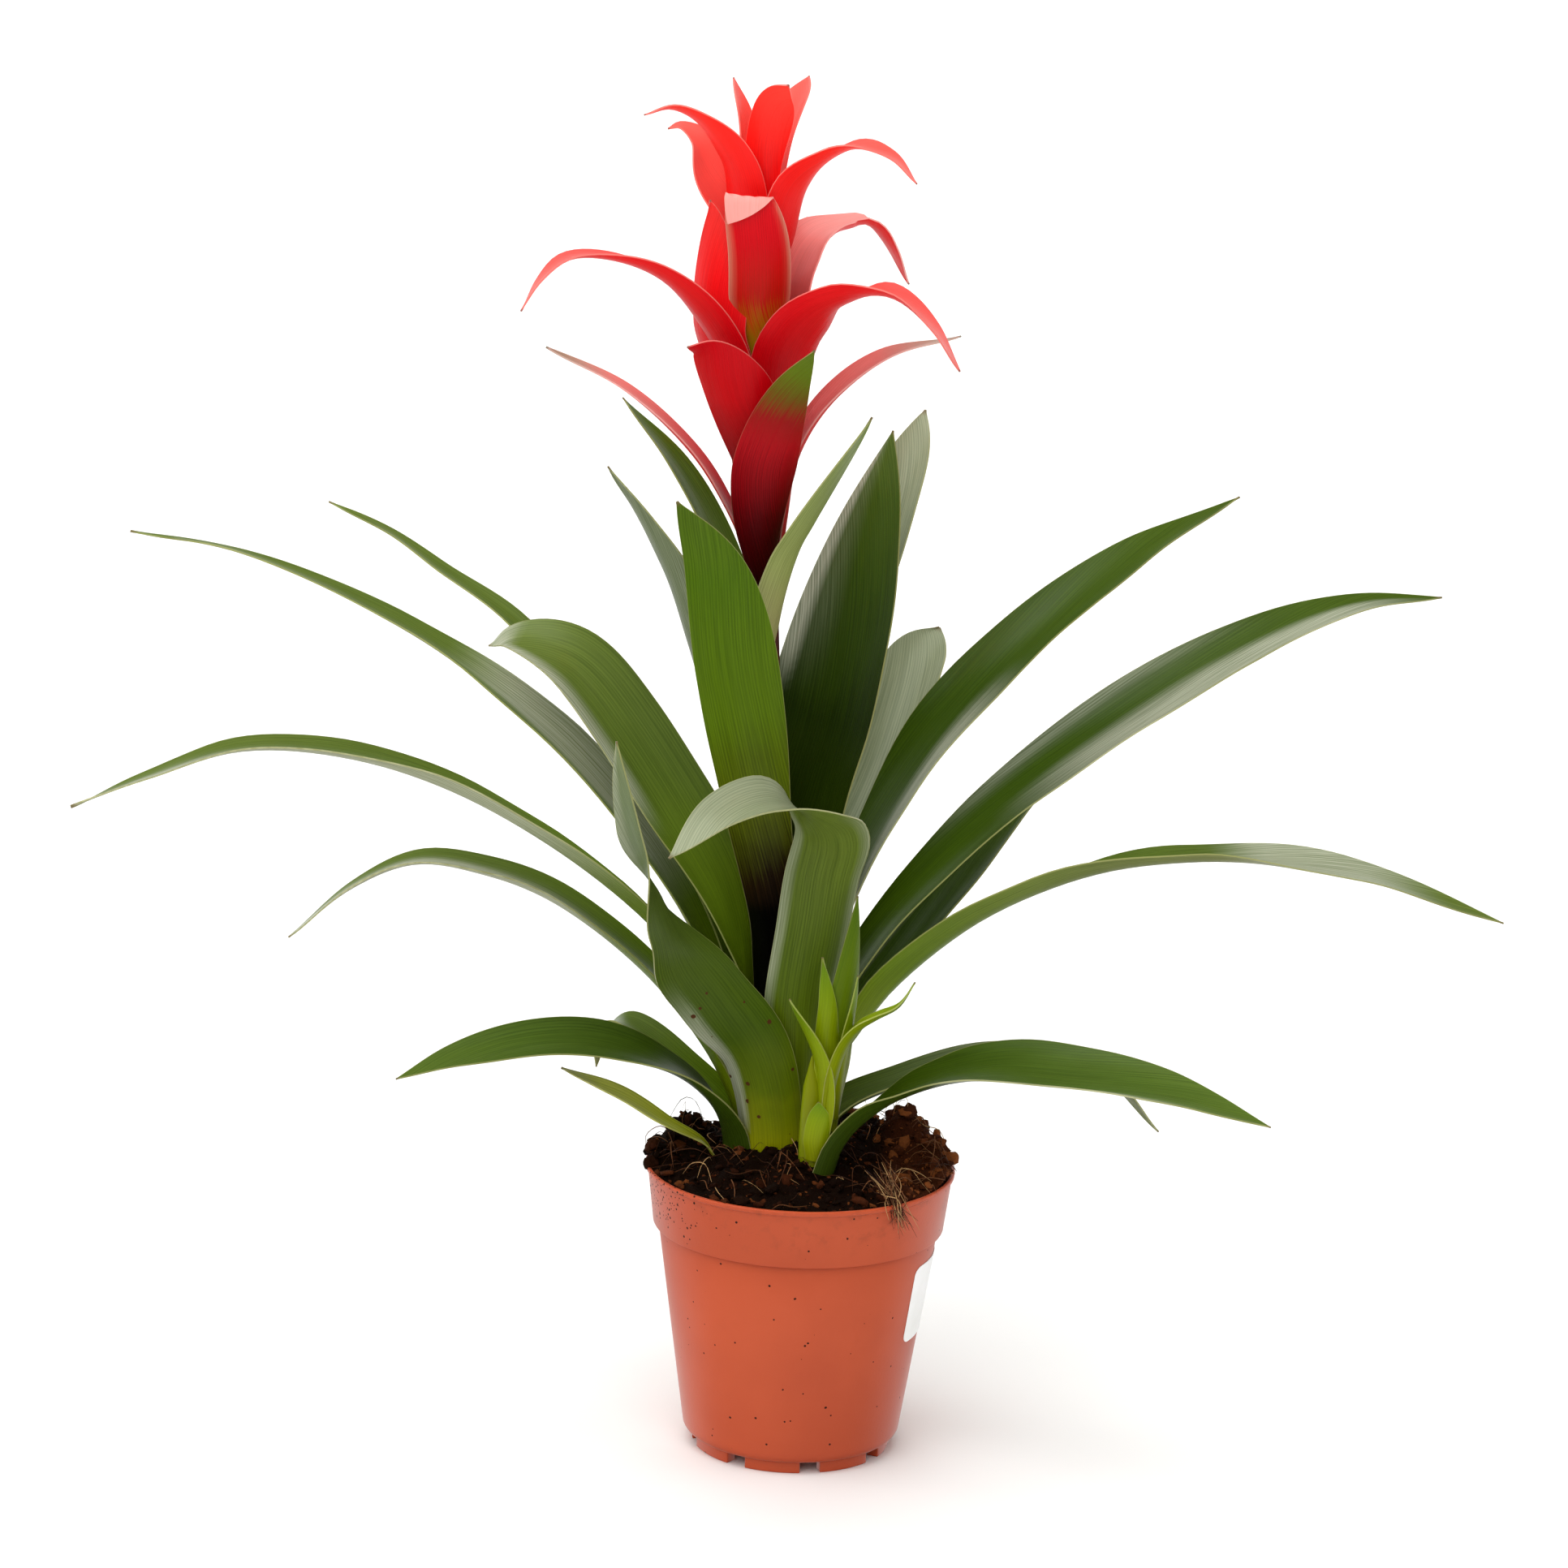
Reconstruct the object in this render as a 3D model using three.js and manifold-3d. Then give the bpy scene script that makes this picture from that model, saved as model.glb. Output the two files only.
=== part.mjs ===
// A guzmania in its nursery pot: strap leaves in a funnel, a red flower head and an offset shoot.
// Millimetres, +Z up. The origin lies on the ground, on the axis of the pot.
import * as THREE from 'three';
import { mergeVertices } from 'three/addons/utils/BufferGeometryUtils.js';
import Module from 'manifold-3d';

const wasm = await Module();
wasm.setup();

const { sin, cos, min, max, sqrt, exp, PI } = Math;
const DEG = PI / 180;

// Clearance between neighbouring pieces
const GAP = 0.3;

// Pot: a 12 cm nursery pot with a collar, a tapered body and eight feet
const POT_HEIGHT = 113;
const RIM_RADIUS = 60;
const COLLAR_HEIGHT = 23.3;
const COLLAR_FOOT_RADIUS = 56.1;
const BODY_TOP_RADIUS = 55.1;
const BODY_FOOT_RADIUS = 42.4;
const BODY_FOOT_HEIGHT = 9;
const BASE_RADIUS = 37;
const FOOT_HEIGHT = 4.3;
const FOOT_OUTER_RADIUS = 38.4;
const FOOT_INNER_RADIUS = 33.5;
const FOOT_COUNT = 8;
const FOOT_ARC = 33 * DEG;
const FIRST_FOOT_ANGLE = -99 * DEG;
const POT_WALL = 1.5;
const POT_FLOOR = 2;
const LIP_ROUND = 0.7;
const LIP_HEIGHT = 1.6;
const LIP_FLARE = 0.3;
const COLLAR_STEP = 0.4;
const INNER_STEP = 1;
const BASE_BEVEL = { out: 3.4, up: 1.2 };
const DRAIN_RADIUS = 3.5;
const DRAIN_CIRCLE_RADIUS = 25;
const DRAIN_SIDES = 8;
const FOOT_SEGMENTS = 3;
const POT_SIDES = 40;
const COLLAR_FOOT_HEIGHT = POT_HEIGHT - COLLAR_HEIGHT;
const INNER_FLOOR_HEIGHT = FOOT_HEIGHT + POT_FLOOR;

// Blank sticker on the side of the pot
const STICKER_FROM = -30 * DEG;
const STICKER_TO = 16 * DEG;
const STICKER_LOW = 53;
const STICKER_HIGH = 85;
const STICKER_THICKNESS = 0.6;
const STICKER_COLUMNS = 9;

// Soil: a mound of peat with two high clods at the wall
const SOIL_RIM_HEIGHT = 114;
const SOIL_MOUND = 7;
const SOIL_RADIUS = RIM_RADIUS - POT_WALL - 1.6;
const SOIL_SECTORS = 36;
const SOIL_RINGS = 9;
const CLODS = [
  { x: 43, y: 20, height: 18, reach: 11 },
  { x: 52, y: -6, height: 7, reach: 9 },
  { x: -45, y: 16, height: 14, reach: 11 },
  { x: -20, y: 46, height: 6, reach: 12 },
  { x: 22, y: 44, height: 8, reach: 11 },
];
const CRUMB_COUNT = 60;
const CRUMB_SEED = 7;
const CRUMB_HEIGHT = { from: -1.5, span: 4.5 };
const CRUMB_REACH = { from: 3.5, span: 3 };

// Plant: its crown stands a little off the pot's axis and leans to the left
const CROWN = new THREE.Vector3(-10, 4, 112);
const LEAN = -2.1 * DEG;
const HOLE_SIDES = 24;
const CROWN_HOLE_RADIUS = 18.5;
const SHOOT_HOLE_RADIUS = 7.5;
const LOW_LEAF_HOLE_RADIUS = 9;
const LOW_LEAF_PLACE = { x: 11, y: -28 };
const SMALL_LEAF_HOLE_RADIUS = 5;
const SMALL_LEAF_PLACE = { x: -33, y: -5 };

// Short thick stem at the crown, running up into the slender flower stalk
const STEM_FOOT = -3;
const STEM_RADIUS = 10.7;
const STEM_SHOULDER = 10;
const STEM_TOP = 90;
const STEM_TOP_RADIUS = 4.5;
const STEM_SIDES = 24;
const STALK_RADIUS = 4.3;
const STALK_SHIFT = -3;
const STALK_PATH = [[0, 78], [0, 110], [-2, 190], [STALK_SHIFT, 235], [STALK_SHIFT, 310],
  [STALK_SHIFT, 385]];
const STALK_STEPS = 10;
const STALK_SIDES = 12;

// Blades: cross-section and resolution
const BLADE_THICKNESS = 0.8;
const LEAF_GRID = { stations: 12, columns: 5 };
const BRACT_GRID = { stations: 9, columns: 5 };
const SHOOT_GRID = { stations: 7, columns: 3 };
const FRAME_STEPS = 96;
const TIP_WIDTH = 1.2;
const HUG_ANGLE = 0.95;
const CHANNEL_RATIO = 0.75;
const OPEN_SHARE = 0.3;
const FULL_SHARE = 0.36;
const TAPER_SHARE = 0.45;
const BLUNTNESS = 2.2;

// Green leaves from the innermost to the outermost. Each turns by azimuth about the crown, and its
// spine runs through rows of out, up and, where it leaves its own plane, side.
const LEAVES = [
  { name: 'leaf_heart_right', azimuth: -30, width: 25, blunt: 3, spine: [[6, 78], [7.5, 140],
    [10, 215, -3], [18, 247, -1], [32, 278, 0], [45, 301, 1]] },
  { name: 'leaf_heart_left', azimuth: 155, width: 27, blunt: 2.8, spine: [[6.3, 76], [8, 130],
    [12, 184], [22, 234], [42, 273], [64, 296]] },
  { name: 'leaf_tall_right', azimuth: 60, width: 41, spine: [[6.9, 68], [9, 102], [13, 138, -5],
    [27, 171, -9], [45, 210, -12], [61, 251, -12], [71, 278, -11]] },
  { name: 'leaf_heart_front', azimuth: 215, width: 26, spine: [[7, 66], [10, 110], [19, 159, 1],
    [34, 208], [45, 238], [60, 264], [74, 283]] },
  { name: 'leaf_tall_right_back', azimuth: 57, width: 25, blunt: 4, spine: [[7.7, 58], [14, 110],
    [33, 160], [58, 206], [84, 245], [106, 279]] },
  { name: 'leaf_tall_front', azimuth: 262, width: 36, blunt: 3.6, spine: [[7.9, 56], [10, 80],
    [13, 102, 1], [19, 145, -4], [30, 195, -9], [43, 244, -16], [53, 271, -28]] },
  { name: 'leaf_heart_back', azimuth: 112, width: 26, spine: [[8.4, 49], [14, 92], [24, 128],
    [40, 164]] },
  { name: 'leaf_broad_left', azimuth: 164, width: 32, roll: [0, -20, -45, -45, -30],
    spine: [[8.8, 44], [12, 80, 1], [21, 109, 2], [40, 142, 2], [60, 171, 2], [82, 195, 1], [96, 206],
      [107, 206], [116, 195]] },
  { name: 'leaf_upper_right', azimuth: 29, width: 36, roll: [0, 12, 16, 10], spine: [[9, 40],
    [17, 70], [31, 98], [46, 126], [72, 161], [111, 194], [162, 226], [208, 243]] },
  { name: 'leaf_blunt_right', azimuth: 57, width: 34, blunt: 5, spine: [[9.5, 34], [20, 68], [36, 98],
    [57, 121], [76, 141], [94, 163], [109, 184], [119, 190], [129, 182]] },
  { name: 'leaf_back_high', azimuth: 98, width: 32, spine: [[9.8, 30], [20, 70], [42, 108],
    [66, 134], [88, 138], [104, 124]] },
  { name: 'leaf_slim_left', azimuth: 150, width: 24, spine: [[9.9, 29], [18, 72], [34, 108],
    [60, 144], [92, 178], [120, 202], [151, 218], [176, 231], [205, 240]] },
  { name: 'leaf_long_left_upper', azimuth: 159, width: 28, roll: [0, -12, -24, -14, 0, 0],
    spine: [[10.5, 21], [19, 55], [30, 86], [53, 122], [87, 157], [122, 183], [173, 208], [225, 224],
      [274, 229]] },
  { name: 'leaf_long_right_upper', azimuth: 20, width: 39, roll: [0, 14, 26, 28, 24, 10],
    spine: [[10.7, 24], [22, 53], [36, 77], [53, 98], [89, 130], [137, 161], [190, 188], [241, 204],
      [279, 204]] },
  { name: 'leaf_front_fold', azimuth: 283, width: 29, blunt: 3.6, roll: [0, 0, 0, -20, -62, -72],
    spine: [[11.5, 16, 2], [14, 40, 4], [17, 65, 6], [21, 95, 9], [28, 120, 11], [40, 141, 10],
      [54, 155, 1], [62, 163, -15], [70, 160, -36], [76, 145, -56]] },
  { name: 'leaf_long_left', azimuth: 198, width: 32, spine: [[10.9, 18], [17, 44], [27, 70],
    [50, 100], [86, 132], [128, 159], [169, 175], [208, 180], [243, 172], [271, 163]] },
  { name: 'leaf_long_right_lower', azimuth: 8, width: 30, roll: [0, -6, -10, -6, 14, 22],
    spine: [[11.2, 14], [20, 32], [32, 50], [46, 69], [81, 95], [128, 112], [180, 115], [232, 107],
      [287, 86]] },
  { name: 'leaf_back_middle', azimuth: 92, width: 30, spine: [[11.2, 12], [24, 38], [44, 64],
    [70, 80], [92, 78], [106, 60]] },
  { name: 'leaf_right_back', azimuth: 40, width: 26, spine: [[11.6, 8], [30, 36], [52, 59],
    [74, 79], [96, 98], [112, 110], [124, 118], [135, 124]] },
  { name: 'leaf_middle_left', azimuth: 180, width: 28, spine: [[11.6, 6], [19, 30], [28, 48],
    [49, 76], [83, 104], [111, 116], [137, 120], [162, 110], [187, 90]] },
  { name: 'leaf_front_sheath', azimuth: 262, width: 31, hug: 14.5, roll: [0, 0, 35, 88, 130, 135],
    spine: [[15.4, 2, 0], [17, 22, 0], [24, 50, -4], [33, 72, -15], [42, 93, -27], [60, 129, -38],
      [73, 156, -43], [79, 173, -45], [81, 186, -46]] },
  { name: 'leaf_low_left', azimuth: 208, width: 25, roll: [0, -10, -22, -22, -10], spine: [[13, 3],
    [15, 15], [26, 29], [47, 45], [74, 57], [104, 62], [136, 61], [159, 56]] },
  { name: 'leaf_low_back', azimuth: 85, width: 26, spine: [[12.5, 3], [28, 24], [50, 38],
    [76, 42], [96, 34], [106, 18]] },
  { name: 'leaf_low_left_back', azimuth: 150, width: 20, spine: [[12.5, 2], [24, 19], [39, 34],
    [53, 46], [67, 49], [76, 42], [82, 26]] },
  { name: 'leaf_low_right_back', azimuth: 30, width: 22, spine: [[12.5, 2], [30, 17], [60, 24],
    [90, 28], [120, 25], [143, 16], [160, 4], [177, -15]] },
  { name: 'leaf_low_right', azimuth: -32, width: 33, hug: 9, roll: [0, 6, 26, 34, 24],
    spine: [[36, 5, -17], [38, 14, -14], [43, 23, -9], [63, 39, -3], [95, 52], [134, 56], [174, 57],
      [217, 51]] },
  { name: 'leaf_small_left', azimuth: 200, width: 11, hug: 5, roll: [0, -20, -35, -35, -20],
    spine: [[23, 0], [29, 11], [44, 24], [64, 37], [85, 49]] },
];

// Red bracts of the flower head from the innermost, at the top, to the outermost
const BRACTS = [
  { name: 'bract_top_front', azimuth: 262, width: 19, blunt: 9, spine: [[5.4, 356, 1], [7, 374, 2],
    [9, 393, 2], [12, 408, 2], [14, 419, 3]] },
  { name: 'bract_top_right', azimuth: 42, width: 20, blunt: 5, spine: [[5.4, 350], [8, 368],
    [11, 388], [15, 406], [21, 421]] },
  { name: 'bract_top_left', azimuth: 158, width: 17, blunt: 2.8, spine: [[5.4, 352], [7, 370],
    [8.5, 392], [9.5, 408], [13, 421]] },
  { name: 'bract_left_high', azimuth: 225, width: 20, roll: [0, 5, 10, 0, -15, -5],
    spine: [[5.6, 336], [8, 354], [11, 372], [14, 390, -2], [23, 405, -8], [34, 412, -14],
      [44, 410, -19]] },
  { name: 'bract_left_high_back', azimuth: 158, width: 23, roll: [0, -15, -30, -10],
    spine: [[5.6, 330], [9, 350], [16, 370], [24, 388], [31, 400], [38, 402]] },
  { name: 'bract_back_high', azimuth: 96, width: 19, spine: [[5.6, 322], [11, 354], [21, 378],
    [36, 387], [48, 379]] },
  { name: 'bract_right_high', azimuth: -14, width: 21, roll: [0, 18, 24, 8], spine: [[5.6, 322],
    [9, 346], [13, 370], [20, 387], [36, 394], [48, 391], [57, 383]] },
  { name: 'bract_front_middle', azimuth: 272, width: 26, spine: [[5.6, 308, -2], [11, 328, -4],
    [15, 345, -5], [19, 362, -5], [26, 376, -4], [35, 378, -10]] },
  { name: 'bract_back_middle', azimuth: 114, width: 20, spine: [[5.6, 300], [11, 328], [22, 348],
    [40, 354], [54, 344]] },
  { name: 'bract_right_middle', azimuth: 24, width: 23, roll: [0, 20, 30, 10, -10],
    spine: [[5.6, 288], [9, 312], [13, 332], [19, 352], [31, 362], [43, 362], [53, 355], [59, 341]] },
  { name: 'bract_left_middle_back', azimuth: 152, width: 18, spine: [[5.6, 282], [11, 304],
    [16, 322], [21, 343], [24, 362], [23, 379]] },
  { name: 'bract_left_middle', azimuth: 222, width: 22, roll: [0, 0, 0, -16, -25, -10],
    spine: [[5.6, 268], [12, 299, -1], [21, 326, -5], [38, 347, -11], [58, 357, -17], [77, 359, -23],
      [87, 352, -26], [95, 341, -28]] },
  { name: 'bract_right_lower', azimuth: -24, width: 23, roll: [0, 16, 20, 4, -10],
    spine: [[5.6, 262], [10, 292], [14, 314], [21, 330], [38, 339], [57, 337], [70, 328], [79, 315]] },
  { name: 'bract_back_lower', azimuth: 95, width: 21, spine: [[5.6, 258], [11, 288], [24, 308],
    [44, 315], [60, 304]] },
  { name: 'bract_front_left', azimuth: 246, width: 31, full: 0.7, blunt: 3.4, spine: [[5.6, 238],
    [11, 260], [18, 283], [26, 304, -1], [34, 319, -3], [39, 327, -9], [39, 327, -16]] },
  { name: 'bract_left_back', azimuth: 134, width: 16, spine: [[5.6, 244], [11, 268], [19, 296],
    [30, 316], [40, 328]] },
  { name: 'bract_right_low', azimuth: 12, width: 18, roll: [0, 0, 14, 14, 0], spine: [[5.6, 236],
    [8, 256], [12, 278], [24, 298], [46, 315], [76, 323]] },
  { name: 'bract_left_low', azimuth: 172, width: 20, spine: [[5.6, 228], [9, 245], [16, 263],
    [27, 281], [54, 303], [84, 318]] },
  { name: 'bract_front_low', azimuth: 285, width: 27, full: 0.55, spine: [[5.6, 226, -2],
    [15, 256, -6], [26, 284, -5], [35, 310, 1], [42, 326, 8]] },
];

// Offset shoot beside the crown: small blades fused round a short stem
const SHOOT_PLACE = new THREE.Vector3(15, -26, 5);
const SHOOT_TILT = 5 * DEG;
const SHOOT_STEM = [[0, -9], [5, -9], [5.6, 0], [5.4, 12], [3.6, 34], [0, 46]];
const SHOOT_SIDES = 14;
const SHOOT_HUG = 4;
const SHOOT_CHANNEL = 7;
const SHOOT_BLADES = [
  { azimuth: 70, width: 15, spine: [[2.4, 12], [4, 40], [8, 68], [13, 102]] },
  { azimuth: 110, width: 12, spine: [[2.6, 10], [3.4, 34], [4, 60], [6, 82]] },
  { azimuth: 10, width: 11, spine: [[3, 8], [5, 28], [9, 50], [13, 72]] },
  { azimuth: 190, width: 12, spine: [[3, 5], [5, 24], [9, 45], [14, 67]] },
  { azimuth: -5, width: 12, spine: [[3.6, 3], [7, 26], [14, 48], [25, 66], [37, 82]] },
  { azimuth: 262, width: 12, spine: [[4.4, 0], [5.4, 12], [6.2, 20], [6.4, 30]] },
];

const LOOKS = {
  pot: { color: 0xba5334, roughness: 0.5 },
  sticker: { color: 0xf2f2f0, roughness: 0.6 },
  soil: { color: 0x2c1a10, roughness: 1 },
  stem: { color: 0x3d4a1c, roughness: 0.6 },
  leaf: { color: 0x35651b, roughness: 0.35 },
  shoot: { color: 0x8aa322, roughness: 0.4 },
  bract: { color: 0xd8121c, roughness: 0.4 },
};

// Solids

function toSolid(geometry) {
  geometry.deleteAttribute('normal');
  geometry.deleteAttribute('uv');
  const merged = mergeVertices(geometry, 1e-4);
  const vertProperties = new Float32Array(merged.attributes.position.array);
  const triVerts = new Uint32Array(merged.index.array);
  return new wasm.Manifold(new wasm.Mesh({ numProp: 3, vertProperties, triVerts }));
}

function toGeometry(solid) {
  const mesh = solid.getMesh();
  const geometry = new THREE.BufferGeometry();
  geometry.setAttribute('position', new THREE.BufferAttribute(mesh.vertProperties, 3));
  geometry.setIndex(new THREE.BufferAttribute(mesh.triVerts, 1));
  geometry.computeVertexNormals();
  return geometry;
}

function gridGeometry(points, triangles) {
  const geometry = new THREE.BufferGeometry();
  const flat = new Float32Array(points.flatMap((point) => point.toArray()));
  geometry.setAttribute('position', new THREE.BufferAttribute(flat, 3));
  geometry.setIndex(triangles);
  return geometry;
}

function largestBody(solid) {
  const bodies = solid.decompose();
  return bodies.reduce((best, body) => (body.volume() > best.volume() ? body : best));
}

function addMesh(parent, name, geometry, look) {
  const material = new THREE.MeshStandardMaterial({ ...look, metalness: 0 });
  const mesh = new THREE.Mesh(geometry, material);
  mesh.name = name;
  parent.add(mesh);
}

function smoothstep(edge, value) {
  const t = min(max(value / edge, 0), 1);
  return t * t * (3 - 2 * t);
}

function seededRandom(seed) {
  let state = seed;
  return () => {
    state = (state * 16807) % 2147483647;
    return state / 2147483647;
  };
}

// Blades

// Places along the spine, each with its tangent and the across direction carried along without twist
function spineFrames(spine) {
  const rows = spine.map(([out, up, side = 0]) => new THREE.Vector3(out, side, up));
  const curve = new THREE.CatmullRomCurve3(rows, false, 'centripetal');
  const frames = [];
  let across = new THREE.Vector3(0, 1, 0);
  for (let i = 0; i <= FRAME_STEPS; i += 1) {
    const along = curve.getTangentAt(i / FRAME_STEPS);
    across = across.clone().addScaledVector(along, -across.dot(along)).normalize();
    frames.push({ place: curve.getPointAt(i / FRAME_STEPS), along, across });
  }
  return frames;
}

function rollAt(roll, t) {
  const position = t * (roll.length - 1);
  const index = min(Math.floor(position), roll.length - 2);
  return THREE.MathUtils.lerp(roll[index], roll[index + 1], position - index) * DEG;
}

// Width along a blade: narrow at the foot, full from a third of the length, drawn out to a point
function bladeWidth(blade, footWidth, t) {
  const open = smoothstep(blade.full ?? FULL_SHARE, t);
  const past = max(0, (t - TAPER_SHARE) / (1 - TAPER_SHARE));
  const width = THREE.MathUtils.lerp(footWidth, blade.width, open);
  return max(width * (1 - past ** (blade.blunt ?? BLUNTNESS)), TIP_WIDTH);
}

// A closed blade whose section is an arc: it hugs the stem at the foot and opens to a channel.
// Both faces are split into triangles alike, and grow makes the blade stouter by that much all round.
function bladeSolid(blade, { stations, columns }, grow = 0) {
  const frames = spineFrames(blade.spine);
  const hug = blade.hug ?? blade.spine[0][0];
  const footWidth = min(2 * HUG_ANGLE * hug, blade.width);
  const channel = blade.channel ?? blade.width * CHANNEL_RATIO;
  const roll = blade.roll ?? [0, 0];
  const half = BLADE_THICKNESS / 2 + grow;
  const last = columns - 1;
  const points = [];
  const triangles = [];
  for (let i = 0; i < stations; i += 1) {
    const t = i / (stations - 1);
    const { place, along, across } = frames[Math.round(t * FRAME_STEPS)];
    const inward = along.clone().cross(across);
    const angle = rollAt(roll, t);
    const side = across.clone().multiplyScalar(cos(angle)).addScaledVector(inward, sin(angle));
    const face = along.clone().cross(side);
    const bend = THREE.MathUtils.lerp(1 / hug, 1 / channel, smoothstep(OPEN_SHARE, t));
    const width = bladeWidth(blade, footWidth, t) + 2 * grow;
    for (let j = 0; j <= last; j += 1) {
      const turn = (j / last - 0.5) * width * bend;
      const centre = place.clone().addScaledVector(side, sin(turn) / bend);
      centre.addScaledVector(face, (1 - cos(turn)) / bend);
      const normal = side.clone().multiplyScalar(-sin(turn)).addScaledVector(face, cos(turn));
      points.push(centre.clone().addScaledVector(normal, half));
      points.push(centre.clone().addScaledVector(normal, -half));
    }
  }
  const upper = (i, j) => 2 * (i * columns + j);
  const lower = (i, j) => upper(i, j) + 1;
  const quad = (a, b, c, d) => triangles.push(a, b, d, b, c, d);
  for (let i = 0; i < stations - 1; i += 1) {
    for (let j = 0; j < last; j += 1) {
      quad(upper(i, j), upper(i + 1, j), upper(i + 1, j + 1), upper(i, j + 1));
      triangles.push(lower(i, j), lower(i, j + 1), lower(i + 1, j));
      triangles.push(lower(i + 1, j), lower(i, j + 1), lower(i + 1, j + 1));
    }
    quad(lower(i, 0), lower(i + 1, 0), upper(i + 1, 0), upper(i, 0));
    quad(upper(i, last), upper(i + 1, last), lower(i + 1, last), lower(i, last));
  }
  for (let j = 0; j < last; j += 1) {
    const tip = stations - 1;
    quad(upper(0, j), upper(0, j + 1), lower(0, j + 1), lower(0, j));
    quad(lower(tip, j), lower(tip, j + 1), upper(tip, j + 1), upper(tip, j));
  }
  return toSolid(gridGeometry(points, triangles));
}

function bladeTurn(blade, shift) {
  const turn = new THREE.Matrix4().makeRotationZ(blade.azimuth * DEG);
  return turn.premultiply(new THREE.Matrix4().makeTranslation(shift, 0, 0));
}

// Cuts a blade clear of the pieces inside it and keeps the blade itself where a scrap comes loose
function clearOf(solid, stouts) {
  let result = solid;
  for (const stout of stouts) {
    result = result.subtract(stout);
  }
  return largestBody(result);
}

// Pot

function bodyRadius(height) {
  const t = (height - BODY_FOOT_HEIGHT) / (COLLAR_FOOT_HEIGHT - BODY_FOOT_HEIGHT);
  return THREE.MathUtils.lerp(BODY_FOOT_RADIUS, BODY_TOP_RADIUS, t);
}

function potProfile() {
  const innerRim = RIM_RADIUS - POT_WALL;
  return [
    [0, FOOT_HEIGHT],
    [BASE_RADIUS, FOOT_HEIGHT],
    [BASE_RADIUS + BASE_BEVEL.out, FOOT_HEIGHT + BASE_BEVEL.up],
    [BODY_FOOT_RADIUS, BODY_FOOT_HEIGHT],
    [BODY_TOP_RADIUS, COLLAR_FOOT_HEIGHT - COLLAR_STEP],
    [COLLAR_FOOT_RADIUS, COLLAR_FOOT_HEIGHT],
    [RIM_RADIUS - LIP_FLARE, POT_HEIGHT - LIP_HEIGHT],
    [RIM_RADIUS, POT_HEIGHT - LIP_ROUND],
    [RIM_RADIUS - LIP_ROUND, POT_HEIGHT],
    [innerRim, POT_HEIGHT],
    [innerRim - LIP_FLARE, POT_HEIGHT - LIP_HEIGHT],
    ...innerWall(0),
    [0, INNER_FLOOR_HEIGHT],
  ];
}

// The inner wall below the rim, from the collar down to the floor, drawn in by a clearance
function innerWall(clearance) {
  return [
    [COLLAR_FOOT_RADIUS - POT_WALL - clearance, COLLAR_FOOT_HEIGHT + POT_WALL],
    [BODY_TOP_RADIUS - POT_WALL - clearance, COLLAR_FOOT_HEIGHT - INNER_STEP],
    [BODY_FOOT_RADIUS - POT_WALL - clearance, BODY_FOOT_HEIGHT + INNER_STEP],
    [BASE_RADIUS - clearance, INNER_FLOOR_HEIGHT + clearance],
  ];
}

function lathe(profile, sides) {
  const points = profile.map(([radius, height]) => new THREE.Vector2(radius, height));
  const geometry = new THREE.LatheGeometry(points, sides);
  geometry.rotateX(PI / 2);
  return toSolid(geometry);
}

function potSolid() {
  let pot = lathe(potProfile(), POT_SIDES);
  const drain = new THREE.CylinderGeometry(DRAIN_RADIUS, DRAIN_RADIUS, 4 * POT_FLOOR, DRAIN_SIDES);
  drain.rotateX(PI / 2);
  for (let i = 0; i < FOOT_COUNT; i += 1) {
    const angle = FIRST_FOOT_ANGLE + (2 * PI * i) / FOOT_COUNT;
    const outline = new THREE.Shape();
    outline.absarc(0, 0, FOOT_OUTER_RADIUS, angle - FOOT_ARC / 2, angle + FOOT_ARC / 2, false);
    outline.absarc(0, 0, FOOT_INNER_RADIUS, angle + FOOT_ARC / 2, angle - FOOT_ARC / 2, true);
    const foot = new THREE.ExtrudeGeometry(outline, {
      depth: FOOT_HEIGHT + POT_FLOOR / 2,
      bevelEnabled: false,
      curveSegments: FOOT_SEGMENTS,
    });
    pot = pot.add(toSolid(foot));
    const between = angle + PI / FOOT_COUNT;
    const hole = drain.clone();
    hole.translate(DRAIN_CIRCLE_RADIUS * cos(between), DRAIN_CIRCLE_RADIUS * sin(between), FOOT_HEIGHT);
    pot = pot.subtract(toSolid(hole));
  }
  return pot;
}

function stickerSolid() {
  const last = STICKER_COLUMNS - 1;
  const points = [];
  for (let i = 0; i <= last; i += 1) {
    const angle = THREE.MathUtils.lerp(STICKER_FROM, STICKER_TO, i / last);
    for (const height of [STICKER_LOW, STICKER_HIGH]) {
      for (const lift of [GAP, GAP + STICKER_THICKNESS]) {
        const radius = bodyRadius(height) + lift;
        points.push(new THREE.Vector3(radius * cos(angle), radius * sin(angle), height));
      }
    }
  }
  const triangles = [];
  const quad = (a, b, c, d) => triangles.push(a, b, d, b, c, d);
  for (let i = 0; i < last; i += 1) {
    const a = 4 * i;
    const b = a + 4;
    quad(a + 1, b + 1, b + 3, a + 3);
    quad(a + 2, b + 2, b, a);
    quad(a, b, b + 1, a + 1);
    quad(a + 3, b + 3, b + 2, a + 2);
  }
  const end = 4 * last;
  quad(0, 1, 3, 2);
  quad(end + 2, end + 3, end + 1, end);
  return toSolid(gridGeometry(points, triangles));
}

// Soil

function soilHeight(crumbs, x, y) {
  const radius = sqrt(x * x + y * y);
  let height = SOIL_RIM_HEIGHT + SOIL_MOUND * (1 - smoothstep(RIM_RADIUS, radius));
  for (const lump of [...CLODS, ...crumbs]) {
    const distance = ((x - lump.x) ** 2 + (y - lump.y) ** 2) / lump.reach ** 2;
    height += lump.height * exp(-distance);
  }
  return height;
}

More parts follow.
